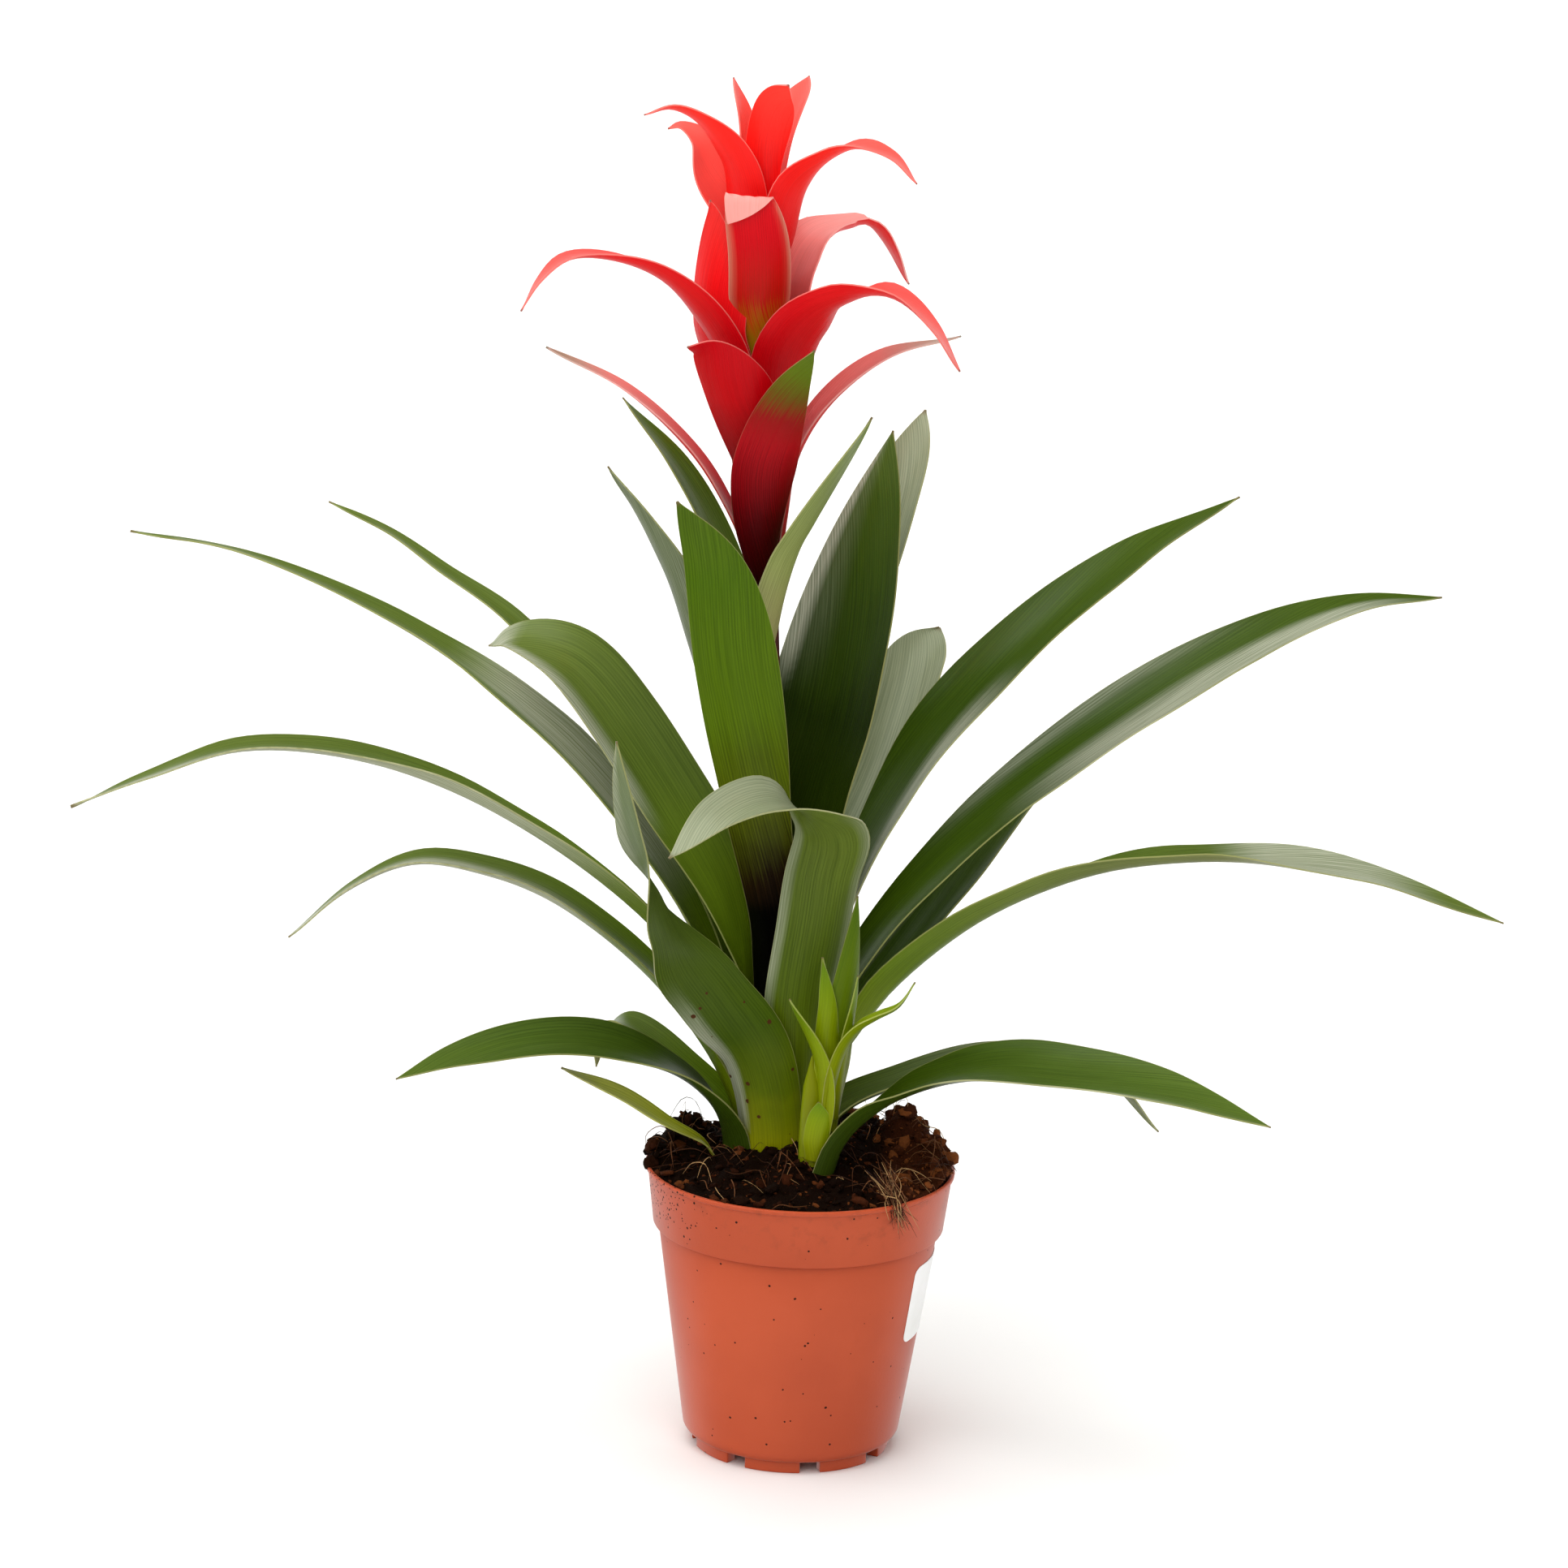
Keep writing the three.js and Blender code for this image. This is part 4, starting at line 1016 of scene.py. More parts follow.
@dataclass
class Foliage:
    """The funnel of strap leaves, or the bracts of the flower head."""

    title: str
    blades: tuple[Blade, ...]
    maker: BladeMaker
    slot: Slot
    shift: float = 0.0

    def build(self, wardrobe: Wardrobe) -> None:
        """Builds and dresses every blade."""
        for index, blade in enumerate(self.blades):
            turn = Matrix.Rotation(radians(blade.azimuth), 4, "Z")
            place = PLANT @ Matrix.Translation((self.shift, 0, 0)) @ turn
            piece = self.maker.make(blade, place, index + 1)
            finish(piece, wardrobe.fetch(blade.dress), self.slot, blade.name)
        LOG.info("%s: %d blades", self.title, len(self.blades))


# Pot


@dataclass
class NurseryPot:
    """A thin pot with a collar, a tapered body, eight feet and drain holes."""

    height: float = 0.113
    rim_radius: float = 0.060
    collar_height: float = 0.0233
    collar_foot_radius: float = 0.0561
    body_top_radius: float = 0.0544
    body_foot: tuple[float, float] = (0.0424, 0.009)
    base_radius: float = 0.037
    foot_height: float = 0.0043
    foot_reach: tuple[float, float] = (0.0335, 0.0384)
    foot_count: int = 8
    foot_arc: float = radians(33)
    first_foot: float = radians(-100)
    wall: float = 0.0015
    lip_round: tuple[float, float] = (0.0006, 0.0007)
    foot_round: float = 0.0005
    floor: float = 0.002
    drain_radius: float = 0.0035
    drain_circle: float = 0.025
    sides: int = 144
    dirty_side: tuple[float, float] = (-0.030, -0.056)
    dirty_rise: tuple[float, float] = (0.090, 0.104)

    def body_radius(self, height: float) -> float:
        """Returns the outer radius of the tapered body at a height."""
        foot_radius, foot_height = self.body_foot
        top = self.height - self.collar_height
        return lerp(foot_radius, self.body_top_radius, (height - foot_height) / (top - foot_height))

    def outline(self) -> list[tuple[float, float]]:
        """Returns rows of radius and height from the base, up the outside, over the lip and down inside."""
        step = self.height - self.collar_height
        foot_radius, foot_height = self.body_foot
        inside = self.rim_radius - self.wall
        bevel = [(lerp(self.base_radius, foot_radius, sin(turn)),
                  lerp(self.foot_height, foot_height, 1 - cos(turn)))
                 for turn in (pi / 2 * part / 5 for part in range(6))]
        wide, tall = self.lip_round
        lip = [(self.rim_radius - wide + wide * cos(turn), self.height - tall + tall * sin(turn))
               for turn in (pi / 2 * part / 3 for part in range(4))]
        return [
            *bevel,
            (self.body_radius(0.5 * step), 0.5 * step),
            (self.body_top_radius - 0.0002, step - 0.0012),
            (self.body_top_radius - 0.0006, step - 0.0004),
            (self.collar_foot_radius, step - 0.0003),
            (self.collar_foot_radius + 0.0003, step + 0.0002),
            (self.rim_radius - 0.0010, self.height - 0.0022),
            (self.rim_radius - 0.0001, self.height - 0.0016),
            *lip,
            (inside + 0.0003, self.height),
            (inside, self.height - 0.0004),
            (self.collar_foot_radius - self.wall, step + self.wall),
            (self.body_top_radius - self.wall, step - 0.001),
            (foot_radius - self.wall, foot_height + 0.001),
            (self.base_radius, self.foot_height + self.floor),
        ]

    def foot(self) -> bpy.types.Object:
        """Spins a small upright oblong into one foot and rounds its edges."""
        deselect_all()
        inner, outer = self.foot_reach
        tall = self.foot_height + self.floor / 2
        bpy.ops.mesh.primitive_plane_add(size=1, rotation=(pi / 2, 0, 0))
        bpy.ops.transform.resize(value=(outer - inner, 1, tall))
        bpy.ops.transform.translate(value=((inner + outer) / 2, 0, tall / 2))
        piece = named("pot_foot")
        with editing():
            bpy.ops.mesh.spin(steps=10, angle=self.foot_arc, center=(0, 0, 0), axis=(0, 0, 1))
            face_outward()
        shape(piece, "BEVEL", width=self.foot_round, segments=3, limit_method="ANGLE",
              angle_limit=radians(40))
        return piece

    def ring(self, model: bpy.types.Object, first: float) -> list[bpy.types.Object]:
        """Copies a model round the pot's axis, once for each foot, and removes the model."""
        copies = []
        for index in range(self.foot_count):
            copy = model.copy()
            copy.data = model.data.copy()
            copy.data.transform(Matrix.Rotation(first + 2 * pi * index / self.foot_count, 4, "Z"))
            bpy.context.collection.objects.link(copy)
            copies.append(copy)
        bpy.data.objects.remove(model)
        return copies

    def build(self) -> bpy.types.Object:
        """Turns the shell, adds the feet and cuts the drain holes.

        Returns:
            The pot.
        """
        pot = turned("nursery_pot", self.outline(), self.sides)
        combine(pot, join(self.ring(self.foot(), self.first_foot + self.foot_arc / 2)), "UNION")
        deselect_all()
        bpy.ops.mesh.primitive_cylinder_add(
            vertices=32, radius=self.drain_radius, depth=4 * self.floor,
            location=(self.drain_circle, 0, self.foot_height))
        between = self.first_foot + pi / self.foot_count
        combine(pot, join(self.ring(named("drain"), between)), "DIFFERENCE")
        soften(pot, 35)
        return pot

    def dress(self, effects: Effects) -> bpy.types.Material:
        """Builds the satin terracotta plastic, with peat dust and specks under the rim.

        Args:
            effects: The shared node groups.

        Returns:
            The material.
        """
        made, shader, principled = material(
            "Terracotta plastic", 0.4, IOR=1.5, Sheen_Weight=0.11, Sheen_Roughness=0.35)
        clouds = effects.blotches(shader, 18.0)
        colour = shader.mix(clouds, "#bf512e", "#b64a28")
        spot = shader.parts(shader.places())
        left = shader.rise(spot["X"], *self.dirty_side)
        high = shader.rise(spot["Z"], *self.dirty_rise)
        dirty = shader.times(left, high)
        share = shader.plus(shader.times(dirty, 0.8), 0.014)
        specks = effects.dots(shader, 900.0, 0.5, share)
        large = effects.dots(shader, 160.0, 0.14, 0.012)
        specks = shader.math("MAXIMUM", specks, large)
        dust = shader.noise(shader.places(), 160.0, 4, 0.7)
        film = shader.times(shader.rise(dust, 0.5, 0.75), high, 0.35)
        colour = shader.mix(film, colour, "#7a3a22")
        colour = shader.mix(specks, colour, "#2e1409")
        rough = shader.plus(shader.times(clouds, 0.06), 0.36)
        rough = shader.plus(rough, shader.times(specks, 0.4))
        shader.paint(principled, colour, rough, shader.noise(shader.places(), 900.0, 2), 0.00003)
        return made


@dataclass
class Sticker:
    """The blank white sticker on the right of the pot."""

    pot: NurseryPot
    start: float = radians(-30)
    end: float = radians(16)
    low: float = 0.0495
    high: float = 0.0812
    corner: float = 0.1
    lift: float = 0.0001
    thickness: float = 0.0002
    slices: int = 24

    def build(self) -> bpy.types.Object:
        """Rounds a sheet's corners, slices it upright and lays it round the body."""
        deselect_all()
        bpy.ops.mesh.primitive_plane_add(size=1)
        piece = named("blank_sticker")
        with editing():
            bpy.ops.mesh.bevel(offset=self.corner, segments=6, affect="VERTICES")
            for cut in range(1, self.slices):
                bpy.ops.mesh.select_all(action="SELECT")
                bpy.ops.mesh.bisect(plane_co=(cut / self.slices - 0.5, 0, 0), plane_no=(1, 0, 0))
        for vertex in piece.data.vertices:
            angle = lerp(self.start, self.end, vertex.co.x + 0.5)
            height = lerp(self.low, self.high, vertex.co.y + 0.5)
            radius = self.pot.body_radius(height) + self.lift
            vertex.co = (radius * cos(angle), radius * sin(angle), height)
        shape(piece, "SOLIDIFY", thickness=self.thickness, offset=1)
        soften(piece)
        return piece

    def dress(self, effects: Effects) -> bpy.types.Material:
        """Builds the faintly mottled white paper."""
        made, shader, principled = material("Sticker paper", 0.4)
        clouds = effects.blotches(shader, 60.0)
        colour = shader.mix(clouds, "#ffffff", "#f6f6f3")
        shader.paint(principled, colour, shader.plus(shader.times(clouds, 0.1), 0.45))
        return made


# Soil


@dataclass(frozen=True)
class Clod:
    """A lump in the soil: its place, its height over the bed and its reach, in millimetres."""

    x: float
    y: float
    height: float
    reach: float


@dataclass(frozen=True)
class Copy:
    """Where a copy of a small model goes: the model's number, a matrix and a tone from 0 to 1."""

    model: int
    place: Matrix
    tone: float


def gather(name: str, parts: Iterable[tuple[np.ndarray, list[tuple[int, ...]], float]]) -> bpy.types.Object:
    """Gathers loose shapes into one piece.

    Args:
        name: The piece's name.
        parts: The vertices, the faces and the tone of each shape.

    Returns:
        The piece, with the attribute tone.
    """
    vertices, faces, tones = [], [], []
    count = 0
    for points, sides, tone in parts:
        vertices.append(points)
        faces += [tuple(count + corner for corner in side) for side in sides]
        tones += [tone] * len(points)
        count += len(points)
    mesh = bpy.data.meshes.new(name)
    mesh.from_pydata(np.concatenate(vertices), [], faces)
    mesh.attributes.new("tone", "FLOAT", "POINT").data.foreach_set("value", tones)
    piece = bpy.data.objects.new(name, mesh)
    bpy.context.collection.objects.link(piece)
    return piece


def strew(name: str, models: Sequence[bpy.types.Object], copies: Sequence[Copy]) -> bpy.types.Object:
    """Copies small models into one piece and removes the models.

    Args:
        name: The piece's name.
        models: The small models.
        copies: Where each copy goes.

    Returns:
        The piece, with the attribute tone.
    """
    shapes = []
    for model in models:
        points = np.array([vertex.co for vertex in model.data.vertices])
        shapes.append((points, [tuple(polygon.vertices) for polygon in model.data.polygons]))
        bpy.data.objects.remove(model)
    parts = []
    for copy in copies:
        points, sides = shapes[copy.model]
        turn = np.array(copy.place.to_3x3())
        parts.append((points @ turn.T + np.array(copy.place.translation), sides, copy.tone))
    return gather(name, parts)


@dataclass
class PeatBed:
    """Dark peat, mounded a little over the rim, with clods and crumbs in four sizes."""

    radius: float = 0.0583
    foot_radius: float = 0.0543
    rim_height: float = 0.1125
    mound: float = 0.0125
    mound_radius: float = 0.060
    rough_height: float = 0.0020
    lump_height: float = 0.0022
    depth: float = 0.012
    sides: int = 200
    rings: int = 56
    crumbs: tuple[tuple[int, float, float], ...] = (
        (150, 0.0036, 0.0070), (420, 0.0018, 0.0036), (1100, 0.0009, 0.0018), (1700, 0.0004, 0.0009))
    clods: tuple[Clod, ...] = (
        Clod(41, 18, 17, 11), Clod(52, 2, 10, 8), Clod(53, -16, 5, 7), Clod(-46, 14, 13, 9),
        Clod(-55, -2, 6, 6), Clod(-20, 46, 4, 12), Clod(22, 44, 8, 11), Clod(-4, -30, 3, 6),
        Clod(36, -34, 4, 8))
    kinds: int = 3
    plain_below: float = 0.001
    crumb_roughness: float = 0.32
    clod_share: float = 0.3
    clod_spread: float = 0.75
    sunk: tuple[float, float] = (-0.1, 0.45)
    tone_power: float = 2.4
    # Where the painted light on the peat rises, along X
    lit_side: tuple[float, float] = (0.024, 0.040)
    draw: random.Random = field(default_factory=lambda: random.Random(11))

    def height_at(self, x: float, y: float) -> float:
        """Returns the height of the bed, with its clods and its roughness."""
        height = self.rim_height + self.mound * (1 - smoothstep(self.mound_radius, hypot(x, y)))
        for clod in self.clods:
            far = ((x / MM - clod.x) ** 2 + (y / MM - clod.y) ** 2) / clod.reach ** 2
            height += clod.height * MM * exp(-far)
        spot = Vector((x, y, 0)) / MM
        rough = noise.fractal(spot * 0.16, 0.8, 2.1, 5)
        lumps = 0.5 - min(noise.voronoi(spot * 0.22)[0][0], 1)
        return height + self.rough_height * rough + self.lump_height * lumps

    def bed(self) -> bpy.types.Object:
        """Insets a disc ring by ring and raises it to the bed's heights."""
        deselect_all()
        low = self.rim_height - self.depth
        bpy.ops.mesh.primitive_circle_add(
            vertices=self.sides, radius=self.foot_radius, fill_type="NGON", location=(0, 0, low))
        piece = named("peat_bed")
        with editing():
            bpy.ops.mesh.extrude_region_move(TRANSFORM_OT_translate={"value": (0, 0, self.depth)})
            ratio = self.radius / self.foot_radius
            bpy.ops.transform.resize(value=(ratio, ratio, 1), center_override=(0, 0, self.rim_height))
            for _ in range(self.rings):
                bpy.ops.mesh.inset(thickness=self.radius / (self.rings + 1))
            face_outward()
        for vertex in piece.data.vertices:
            if vertex.co.z > low + self.depth / 2:
                vertex.co.z = self.height_at(vertex.co.x, vertex.co.y)
        soften(piece, 60)
        return piece

    def models(self) -> list[bpy.types.Object]:
        """Makes three rough crumbs for the large ones and three plainer ones for the small."""
        made = []
        for index in range(2 * self.kinds):
            deselect_all()
            bpy.ops.mesh.primitive_ico_sphere_add(subdivisions=2 if index < self.kinds else 1, radius=1)
            crumb = named("crumb")
            with editing():
                bpy.ops.transform.vertex_random(offset=self.crumb_roughness, seed=index + 1)
            made.append(crumb)
        return made

    def spot(self) -> tuple[float, float]:
        """Draws a place on the bed, more often on its clods."""
        if self.draw.random() < self.clod_share:
            clod = self.draw.choice(self.clods)
            x = (clod.x + self.draw.gauss(0, clod.reach * self.clod_spread)) * MM
            y = (clod.y + self.draw.gauss(0, clod.reach * self.clod_spread)) * MM
        else:
            angle = self.draw.uniform(0, 2 * pi)
            reach = self.radius * sqrt(self.draw.random())
            x, y = reach * cos(angle), reach * sin(angle)
        scale = min(1, self.radius / max(hypot(x, y), 1e-6))
        return x * scale, y * scale

    def tumble(self, size: float, x: float, y: float) -> Matrix:
        """Returns a matrix that turns, squeezes and places a crumb on the bed."""
        turn = Matrix.Rotation(self.draw.uniform(0, 2 * pi), 4, self.draw_axis())
        depth, height = size * self.draw.uniform(0.5, 1), size * self.draw.uniform(0.35, 0.8)
        squeeze = Matrix.Diagonal((size, depth, height, 1))
        lift = self.height_at(x, y) + size * self.draw.uniform(*self.sunk)
        return Matrix.Translation((x, y, lift)) @ turn @ squeeze

    def draw_axis(self) -> Vector:
        """Draws a direction."""
        return Vector([self.draw.gauss(0, 1) for _ in range(3)]).normalized()

    def crumb_copies(self) -> list[Copy]:
        """Draws the crumbs' sizes and places."""
        copies = []
        for count, small, large in self.crumbs:
            for _ in range(count):
                size = self.draw.uniform(small, large)
                model = self.draw.randrange(self.kinds) + (0 if size > self.plain_below else self.kinds)
                x, y = self.spot()
                tone = self.draw.random() ** self.tone_power
                copies.append(Copy(model, self.tumble(size / 2, x, y), tone))
        return copies

    def dress(self, effects: Effects) -> bpy.types.Material:
        """Builds the damp peat, from near black to red brown by each crumb's tone, with painted light that
        makes it lighter and redder towards the right.
        """
        made, shader, principled = material("Peat", 0.1)
        fine = shader.noise(shader.places(), 900.0, 4, 0.7)
        # Painted light: lighter, redder peat and fewer dark blotches towards the right
        right = shader.rise(shader.parts(shader.places())["X"], *self.lit_side)
        tone = shader.plus(shader.mark("tone"), shader.times(fine, 0.3))
        tone = shader.plus(tone, shader.times(right, 0.45))
        colour = shader.ramp(tone, (
            (0.0, "#090301"), (0.3, "#180a04"), (0.6, "#3a1a0b"), (0.9, "#562b15"), (1.0, "#78421f")))
        clouds = effects.blotches(shader, 70.0)
        shade = shader.times(clouds, shader.math("SUBTRACT", 0.5, shader.times(right, 0.3)))
        colour = shader.mix(shade, colour, "#0a0402")
        rough = shader.plus(shader.times(fine, 0.2), 0.75)
        shader.paint(principled, colour, rough, fine, 0.0006)
        return made


@dataclass
class RootFibres:
    """Thin brown roots on the peat, with a tuft that hangs over the rim at the right."""

    bed: PeatBed
    count: int = 170
    tuft_count: int = 46
    steps: int = 12
    tuft_start: Vector = field(default_factory=lambda: Vector((0.030, -0.036, 0.121)))
    tuft_over: Vector = field(default_factory=lambda: Vector((0.0355, -0.0465, 0.1150)))
    tuft_end: Vector = field(default_factory=lambda: Vector((0.040, -0.0475, 0.103)))
    farthest: float = 0.0605
    lengths: tuple[float, float] = (0.006, 0.022)
    rises: tuple[float, float] = (-0.001, 0.006)
    lift: float = 0.0012
    radii: tuple[float, float] = (0.00010, 0.00024)
    tuft_radii: tuple[float, float] = (0.00012, 0.00026)
    tuft_drop: tuple[float, float] = (-0.002, 0.006)
    draw: random.Random = field(default_factory=lambda: random.Random(5))

    def wobble(self, size: float) -> Vector:
        """Draws a small random step."""
        return Vector([self.draw.gauss(0, size) for _ in range(3)])

    def loose_path(self) -> list[Vector]:
        """Draws one fibre that lies on the bed, with its ends in it or in the air."""
        x, y = self.bed.spot()
        angle = self.draw.uniform(0, 2 * pi)
        length = self.draw.uniform(*self.lengths)
        rise = self.draw.uniform(*self.rises)
        rows = []
        for step in range(4):
            share = step / 3
            far_x = x + length * (share - 0.5) * cos(angle)
            far_y = y + length * (share - 0.5) * sin(angle)
            reach = min(1, self.farthest / max(hypot(far_x, far_y), 1e-6))
            far_x, far_y = far_x * reach, far_y * reach
            height = self.bed.height_at(far_x, far_y) + self.lift + rise * sin(pi * share)
            rows.append(Vector((far_x, far_y, height)) + self.wobble(0.0008))
        return rows

    def tuft_path(self) -> list[Vector]:
        """Draws one fibre of the tuft over the rim."""
        start = self.tuft_start + self.wobble(0.0042)
        end = self.tuft_end + self.wobble(0.0028)
        end.z = self.tuft_end.z + self.draw.uniform(*self.tuft_drop)
        over = self.tuft_over + self.wobble(0.0018)
        return [start, start.lerp(over, 0.55) + Vector((0, 0, 0.001)) + self.wobble(0.0012), over, end]

    def sweep(self, rows: Sequence[Vector], radius: float) -> tuple[np.ndarray, list[tuple[int, ...]]]:
        """Bends a thin four-sided rod along a path.

        Args:
            rows: The points that the path passes through.
            radius: The rod's radius at its middle.

        Returns:
            Its vertices and its faces.
        """
        route = Route(smooth_path(rows, 8))
        points, faces = [], []
        for step in range(self.steps + 1):
            share = step / self.steps
            along = route.along(share, 0.02)
            side = along.orthogonal().normalized()
            up = along.cross(side)
            thick = radius * (1 - 0.7 * abs(2 * share - 1) ** 2)
            for corner in range(4):
                turn = pi / 2 * corner
                points.append(route.at(share) + (side * cos(turn) + up * sin(turn)) * thick)
        for step in range(self.steps):
            for corner in range(4):
                low, next_low = 4 * step + corner, 4 * step + (corner + 1) % 4
                faces.append((low, next_low, next_low + 4, low + 4))
        faces += [(3, 2, 1, 0), tuple(4 * self.steps + corner for corner in range(4))]
        return np.array(points), faces

    def build(self) -> bpy.types.Object:
        """Draws every fibre into one piece, with the attribute tone."""
        paths = [(self.loose_path(), self.draw.uniform(*self.radii)) for _ in range(self.count)]
        paths += [(self.tuft_path(), self.draw.uniform(*self.tuft_radii)) for _ in range(self.tuft_count)]
        piece = gather("root_fibres", [(*self.sweep(rows, radius), self.draw.random())
                                       for rows, radius in paths])
        soften(piece)
        return piece

    def dress(self) -> bpy.types.Material:
        """Builds the dry root skin, from dark to straw brown."""
        made, shader, principled = material("Root fibre", 0.3)
        fine = shader.noise(shader.places(), 500.0, 2)
        tone = shader.plus(shader.mark("tone"), shader.times(fine, 0.2))
        colour = shader.ramp(tone, ((0.1, "#241008"), (0.6, "#4e2c18"), (0.9, "#7d5232"), (1.0, "#b08a5c")))
        shader.paint(principled, colour, shader.plus(fine, 0.1))
        return made


# Stem and shoot


@dataclass
class Stalk:
    """The short thick stem in the crown, which runs up into the slender flower stalk."""

    outline: tuple[tuple[float, float], ...] = (
        (10.7, -3), (10.7, 10), (8.6, 35), (6.4, 64), (4.5, 90), (4.3, 110), (4.3, 150), (4.3, 190),
        (4.3, 235), (4.3, 270), (4.3, 310), (4.2, 350), (3.0, 385))
    bends: tuple[tuple[float, float], ...] = ((0, 78), (0, 110), (-2, 190), (-3, 235), (-3, 385))
    skin_span: tuple[float, float] = (0.11, 0.40)

    def build(self) -> bpy.types.Object:
        """Turns the stem and shifts it along its slight bend."""
        rows = [(radius * MM, height * MM) for radius, height in self.outline]
        piece = turned("stem", rows, 32)
        heights = [height * MM for _, height in self.bends]
        shifts = [shift * MM for shift, _ in self.bends]
        for vertex in piece.data.vertices:
            vertex.co.x += float(np.interp(vertex.co.z, heights, shifts))
        piece.data.transform(PLANT)
        soften(piece)
        return piece

    def dress(self, effects: Effects) -> bpy.types.Material:
        """Builds the stem's skin, green brown at the foot and maroon under the bracts."""
        made, shader, principled = material("Stalk skin", 0.4)
        low, high = self.skin_span
        inputs = {"Value": shader.parts(shader.places())["Z"], "From Min": low, "From Max": high}
        share = shader.add("MapRange", inputs).outputs["Result"]
        colour = shader.ramp(share, ((0.0, "#7d8a2a"), (0.25, "#4a3a16"), (0.6, "#3c140e"), (1.0, "#6a1216")))
        clouds = effects.blotches(shader, 90.0)
        colour = shader.mix(shader.times(clouds, 0.3), colour, "#2a150c")
        shader.paint(principled, colour, shader.plus(shader.times(clouds, 0.2), 0.4))
        return made


@dataclass
class OffsetShoot:
    """The young shoot at the right foot of the crown: small blades round a short stem."""

    place: Vector = field(default_factory=lambda: Vector((0.015, -0.026, 0.005)))
    outline: tuple[tuple[float, float], ...] = (
        (5, -9), (5.6, 0), (5.4, 12), (4.6, 24), (3.6, 34), (0.4, 46))
    off_edge: float = 9.0
    blades: tuple[Blade, ...] = (
        Blade("spear", 280, 11, Dress.YOUNG, hug=3.5, channel=5, blunt=1.6, spine=(
            (2.9, 16, 5), (4, 38, 5), (5, 54, 5), (5, 67, 5), (4, 77, 4), (4, 86, 3))),
        Blade("spear", 300, 15, Dress.YOUNG, hug=4, channel=9, blunt=1.5, bands=(
            Band((2, 1), (0.2, 0.5, 2, 3)),), spine=(
            (3.5, 15, 6), (5, 40, 8), (6, 61, 10), (7, 78, 12), (8, 109, 15))),
        Blade("spear", 330, 8, Dress.YOUNG, hug=4, channel=7, blunt=1.7, spine=(
            (8.2, 21, 4), (11, 41, 4), (14, 58, 4), (16, 68, 4), (17, 79, 5))),
        Blade("spear", 345, 14, Dress.YOUNG, hug=4, channel=7, blunt=2.2, spine=(
            (4.8, 13, -2), (13, 48, -2), (19, 58, -2), (26, 63, -1), (34, 68), (40, 78, 1))),
        Blade("spear", 215, 12, Dress.YOUNG, hug=4, channel=8, blunt=1.8, spine=(
            (1.1, 7, 4), (0, 25, 6), (1, 40, 7), (4, 52, 6), (12, 71, 2))),
        Blade("scale", 265, 11, Dress.YOUNG, hug=4, channel=7, blunt=2.6, spine=(
            (6.9, 6, 1), (8, 15, 2), (8, 22, 3), (8, 30, 3))),
    )

    def build(self) -> bpy.types.Object:
        """Makes the blades and the stem and joins them."""
        here = PLANT @ Matrix.Translation(self.place)
        maker = BladeMaker(stations=36, columns=8, wave=0.3)
        parts = [maker.make(blade, here @ Matrix.Rotation(radians(blade.azimuth), 4, "Z"), 71 + index)
                 for index, blade in enumerate(self.blades)]
        stem = turned("shoot_stem", [(radius * MM, height * MM) for radius, height in self.outline], 24)
        stem.data.transform(here)
        edge = stem.data.attributes.new("edge", "FLOAT", "POINT")
        edge.data.foreach_set("value", [self.off_edge] * len(stem.data.vertices))
        soften(stem)
        shoot = join([*parts, stem])
        shoot.name = shoot.data.name = "offset_shoot_blades"
        return shoot


# Studio


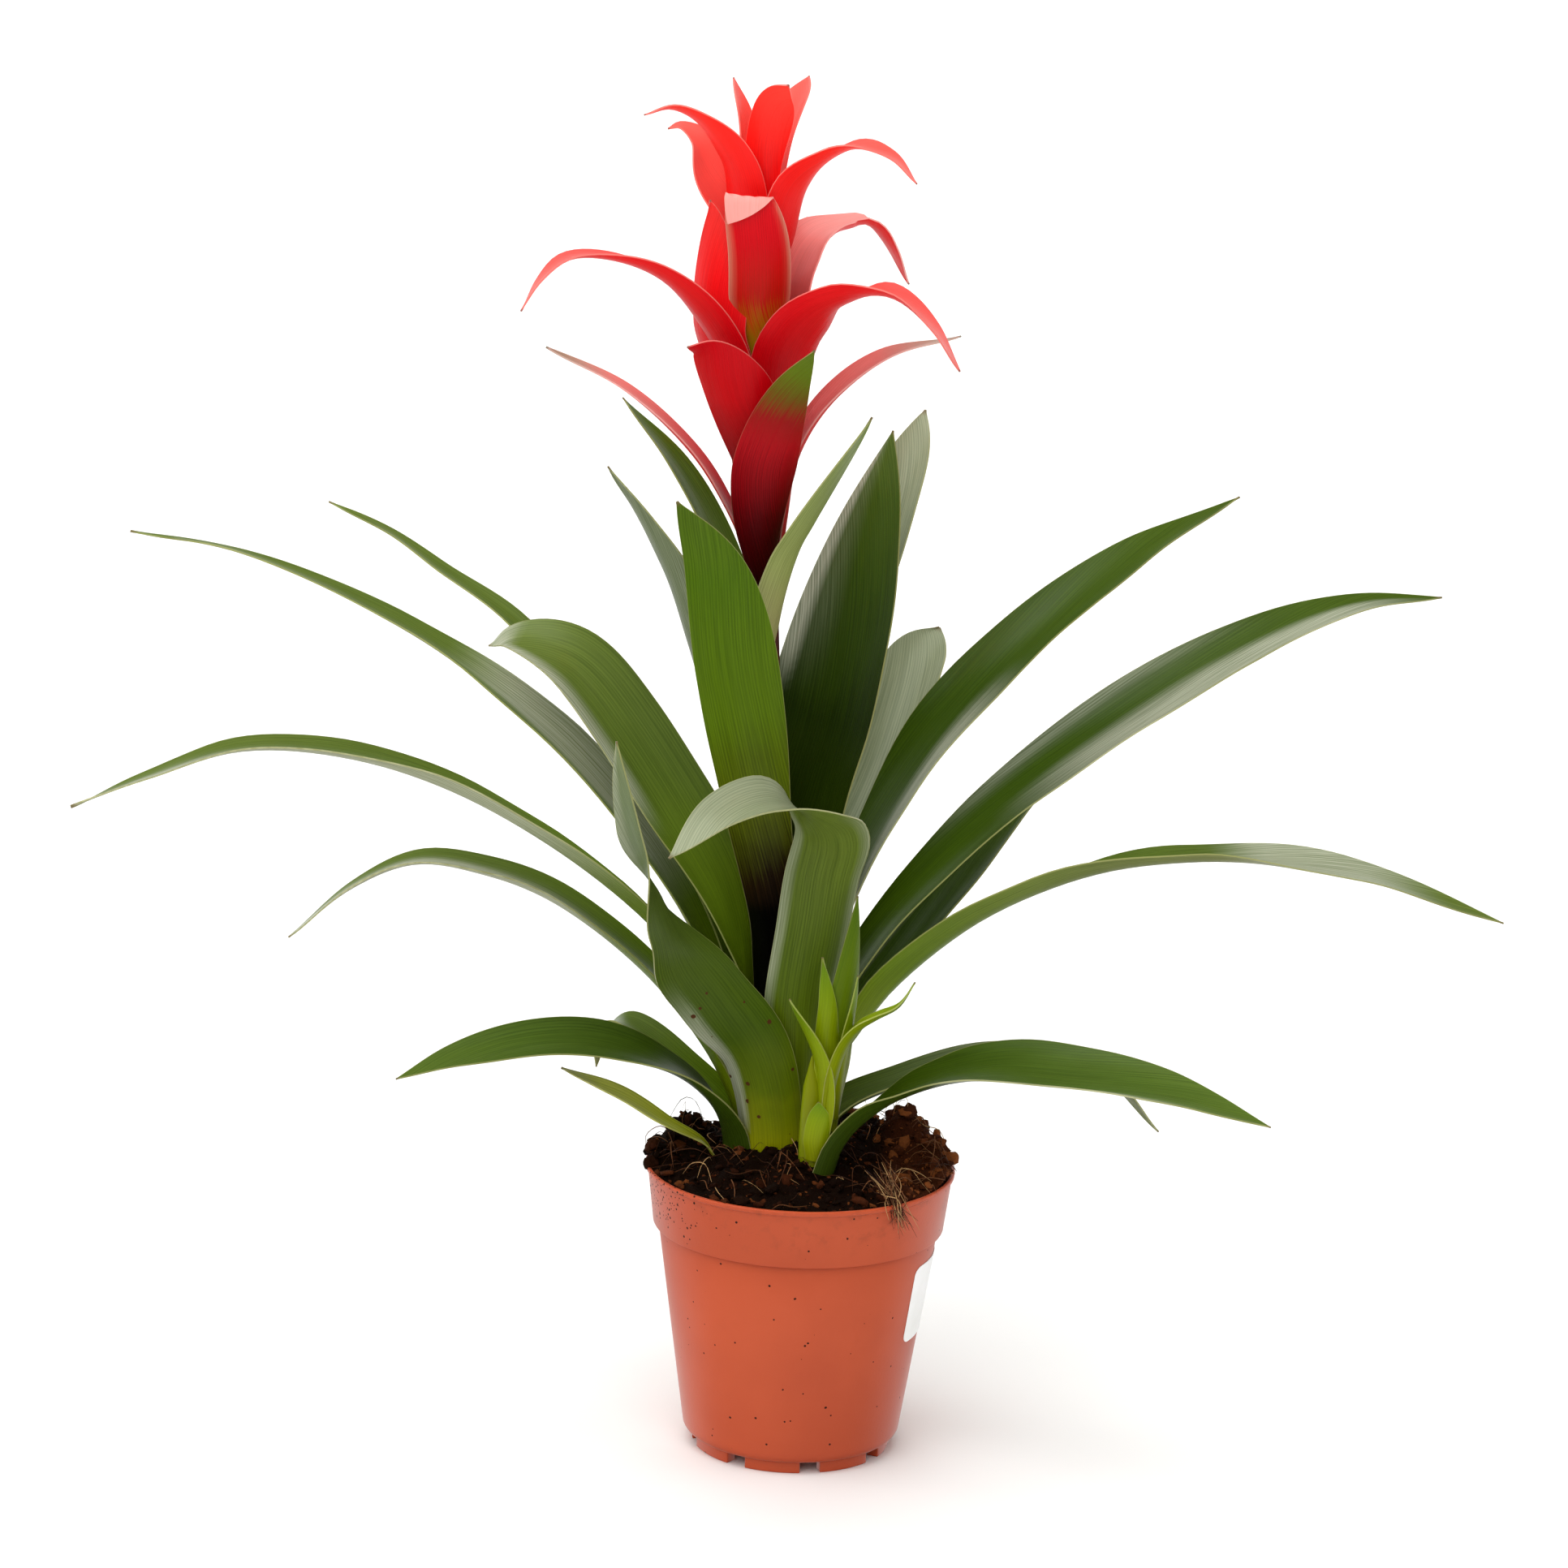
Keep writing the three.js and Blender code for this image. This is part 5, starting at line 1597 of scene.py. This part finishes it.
@dataclass
class Studio:
    """A pale floor, soft light and the camera."""

    camera_place: Vector = field(default_factory=lambda: Vector((0, -2.2, 0.822)))
    camera_tilt: float = radians(75.79)
    camera_roll: float = radians(2.22)
    lens: float = 136.68
    shift: float = -0.0198
    floor_size: float = 40.0
    dim: float = 0.16
    wall_sides: tuple[float, float] = (-0.25, 0.35)
    wall_top: tuple[float, float] = (0.55, 0.2)
    wall_foot: tuple[float, float] = (-0.8, -0.4)
    soft_boxes: tuple[tuple[tuple[float, float, float], float, float], ...] = (
        ((-0.6, -0.25, 0.75), 24, 2.4),
        ((0.55, -0.15, 0.8), 16, 0.8),
    )
    soft_edge: tuple[float, float] = (12, 4)
    lamps: tuple[tuple[str, float, tuple[float, float, float], float], ...] = (
        ("Overhead", 1.9, (-6, -10, 0), 60),
        ("Back", 0.8, (-58, 0, 0), 64),
        ("Left", 0.62, (6, -70, 0), 46),
        ("Right", 0.5, (6, 70, 0), 46),
        ("Front", 2.0, (44, -12, 0), 60),
    )

    def build(self) -> None:
        """Sets up the floor, the lights and the camera."""
        deselect_all()
        bpy.ops.mesh.primitive_plane_add(size=self.floor_size)
        floor = named("floor")
        floor.data.materials.append(self.floor_paper())
        floor.visible_glossy = False
        self.aim_camera()
        for lamp in self.lamps:
            self.light(*lamp)
        bpy.context.scene.world = self.room()
        bpy.context.scene.view_settings.view_transform = "Standard"

    def floor_paper(self) -> bpy.types.Material:
        """Builds the plain pale paper."""
        made, _, principled = material("Pale paper", 0.2, Roughness=0.9)
        principled["Base Color"].default_value = linear("#f6f6f4")
        return made

    def room(self) -> bpy.types.World:
        """Builds the room round the floor: dim, with what glossy surfaces show kept apart.

        They show a white wall and floor behind and beside the plant and soft boxes above it, and a dark
        room in front.

        Returns:
            The world.
        """
        world = bpy.data.worlds.new("Studio")
        world.use_nodes = True
        shader = Shader(world.node_tree)
        way = shader.add("TexCoord").outputs["Generated"]
        part = shader.parts(way)
        behind = shader.rise(part["Y"], *self.wall_sides)
        low = shader.rise(part["Z"], *self.wall_top)
        over = shader.rise(part["Z"], *self.wall_foot)
        shown = shader.times(behind, shader.times(low, over))
        for direction, reach, glow in self.soft_boxes:
            aim = tuple(Vector(direction).normalized())
            near = shader.add("VectorMath", {0: way, 1: aim}, operation="DOT_PRODUCT").outputs["Value"]
            outer, inner = self.soft_edge
            edge = shader.rise(near, cos(radians(reach + outer)), cos(radians(reach - inner)))
            shown = shader.plus(shown, shader.times(edge, glow))
        glossy = shader.add("LightPath").outputs["Is Glossy Ray"]
        others = shader.times(shader.math("SUBTRACT", 1.0, glossy), self.dim)
        strength = shader.plus(shader.times(shown, glossy), others)
        background = world.node_tree.nodes["Background"].inputs
        background["Color"].default_value = (1, 1, 1, 1)
        world.node_tree.links.new(strength, background["Strength"])
        return world

    def light(self, name: str, strength: float, turn: tuple[float, float, float], spread: float) -> None:
        """Adds a soft far light, which glossy surfaces don't show.

        Args:
            name: The light's name.
            strength: Its strength.
            turn: How it is turned from straight down, in degrees.
            spread: How wide it is in the sky, in degrees.
        """
        lamp = bpy.data.lights.new(name, "SUN")
        lamp.energy = strength
        lamp.angle = radians(spread)
        stand = bpy.data.objects.new(name, lamp)
        stand.rotation_euler = [radians(part) for part in turn]
        stand.visible_glossy = False
        bpy.context.collection.objects.link(stand)

    def aim_camera(self) -> None:
        """Adds the camera at the photograph's viewing angle."""
        data = bpy.data.cameras.new("Camera")
        data.lens = self.lens
        data.sensor_width = 36
        data.shift_x = self.shift
        data.clip_start, data.clip_end = 0.05, 100
        camera = bpy.data.objects.new("Camera", data)
        tilt = Matrix.Rotation(self.camera_tilt, 4, "X") @ Matrix.Rotation(self.camera_roll, 4, "Z")
        camera.matrix_world = Matrix.Translation(self.camera_place) @ tilt
        bpy.context.collection.objects.link(camera)
        bpy.context.scene.camera = camera


def main() -> None:
    """Builds the pot, the soil, the plant and the studio, in that order."""
    logging.basicConfig(level=logging.INFO, format="%(message)s")
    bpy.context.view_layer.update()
    effects = Effects()
    wardrobe = Wardrobe(effects)

    pot = NurseryPot()
    finish(pot.build(), pot.dress(effects), Slot.POT, "pot")
    sticker = Sticker(pot)
    finish(sticker.build(), sticker.dress(effects), Slot.STICKER, "pot_sticker")
    LOG.info("pot and sticker")

    bed = PeatBed()
    peat = bed.dress(effects)
    finish(bed.bed(), peat, Slot.PEAT, "soil")
    finish(strew("peat_crumbs", bed.models(), bed.crumb_copies()), peat, Slot.PEAT)
    fibres = RootFibres(bed)
    finish(fibres.build(), fibres.dress(), Slot.PEAT)
    LOG.info("soil")

    stalk = Stalk()
    finish(stalk.build(), stalk.dress(effects), Slot.STALK, "stem")
    Foliage("Leaves", LEAVES, BladeMaker(stations=60), Slot.LEAF).build(wardrobe)
    bracts = BladeMaker(stations=44, wave=0.4)
    Foliage("Flower head", BRACTS, bracts, Slot.BRACT, STALK_SHIFT).build(wardrobe)
    finish(OffsetShoot().build(), wardrobe.fetch(Dress.YOUNG), Slot.YOUNG, "offset_shoot")
    LOG.info("offset shoot")

    Studio().build()


if __name__ == "__main__":
    main()
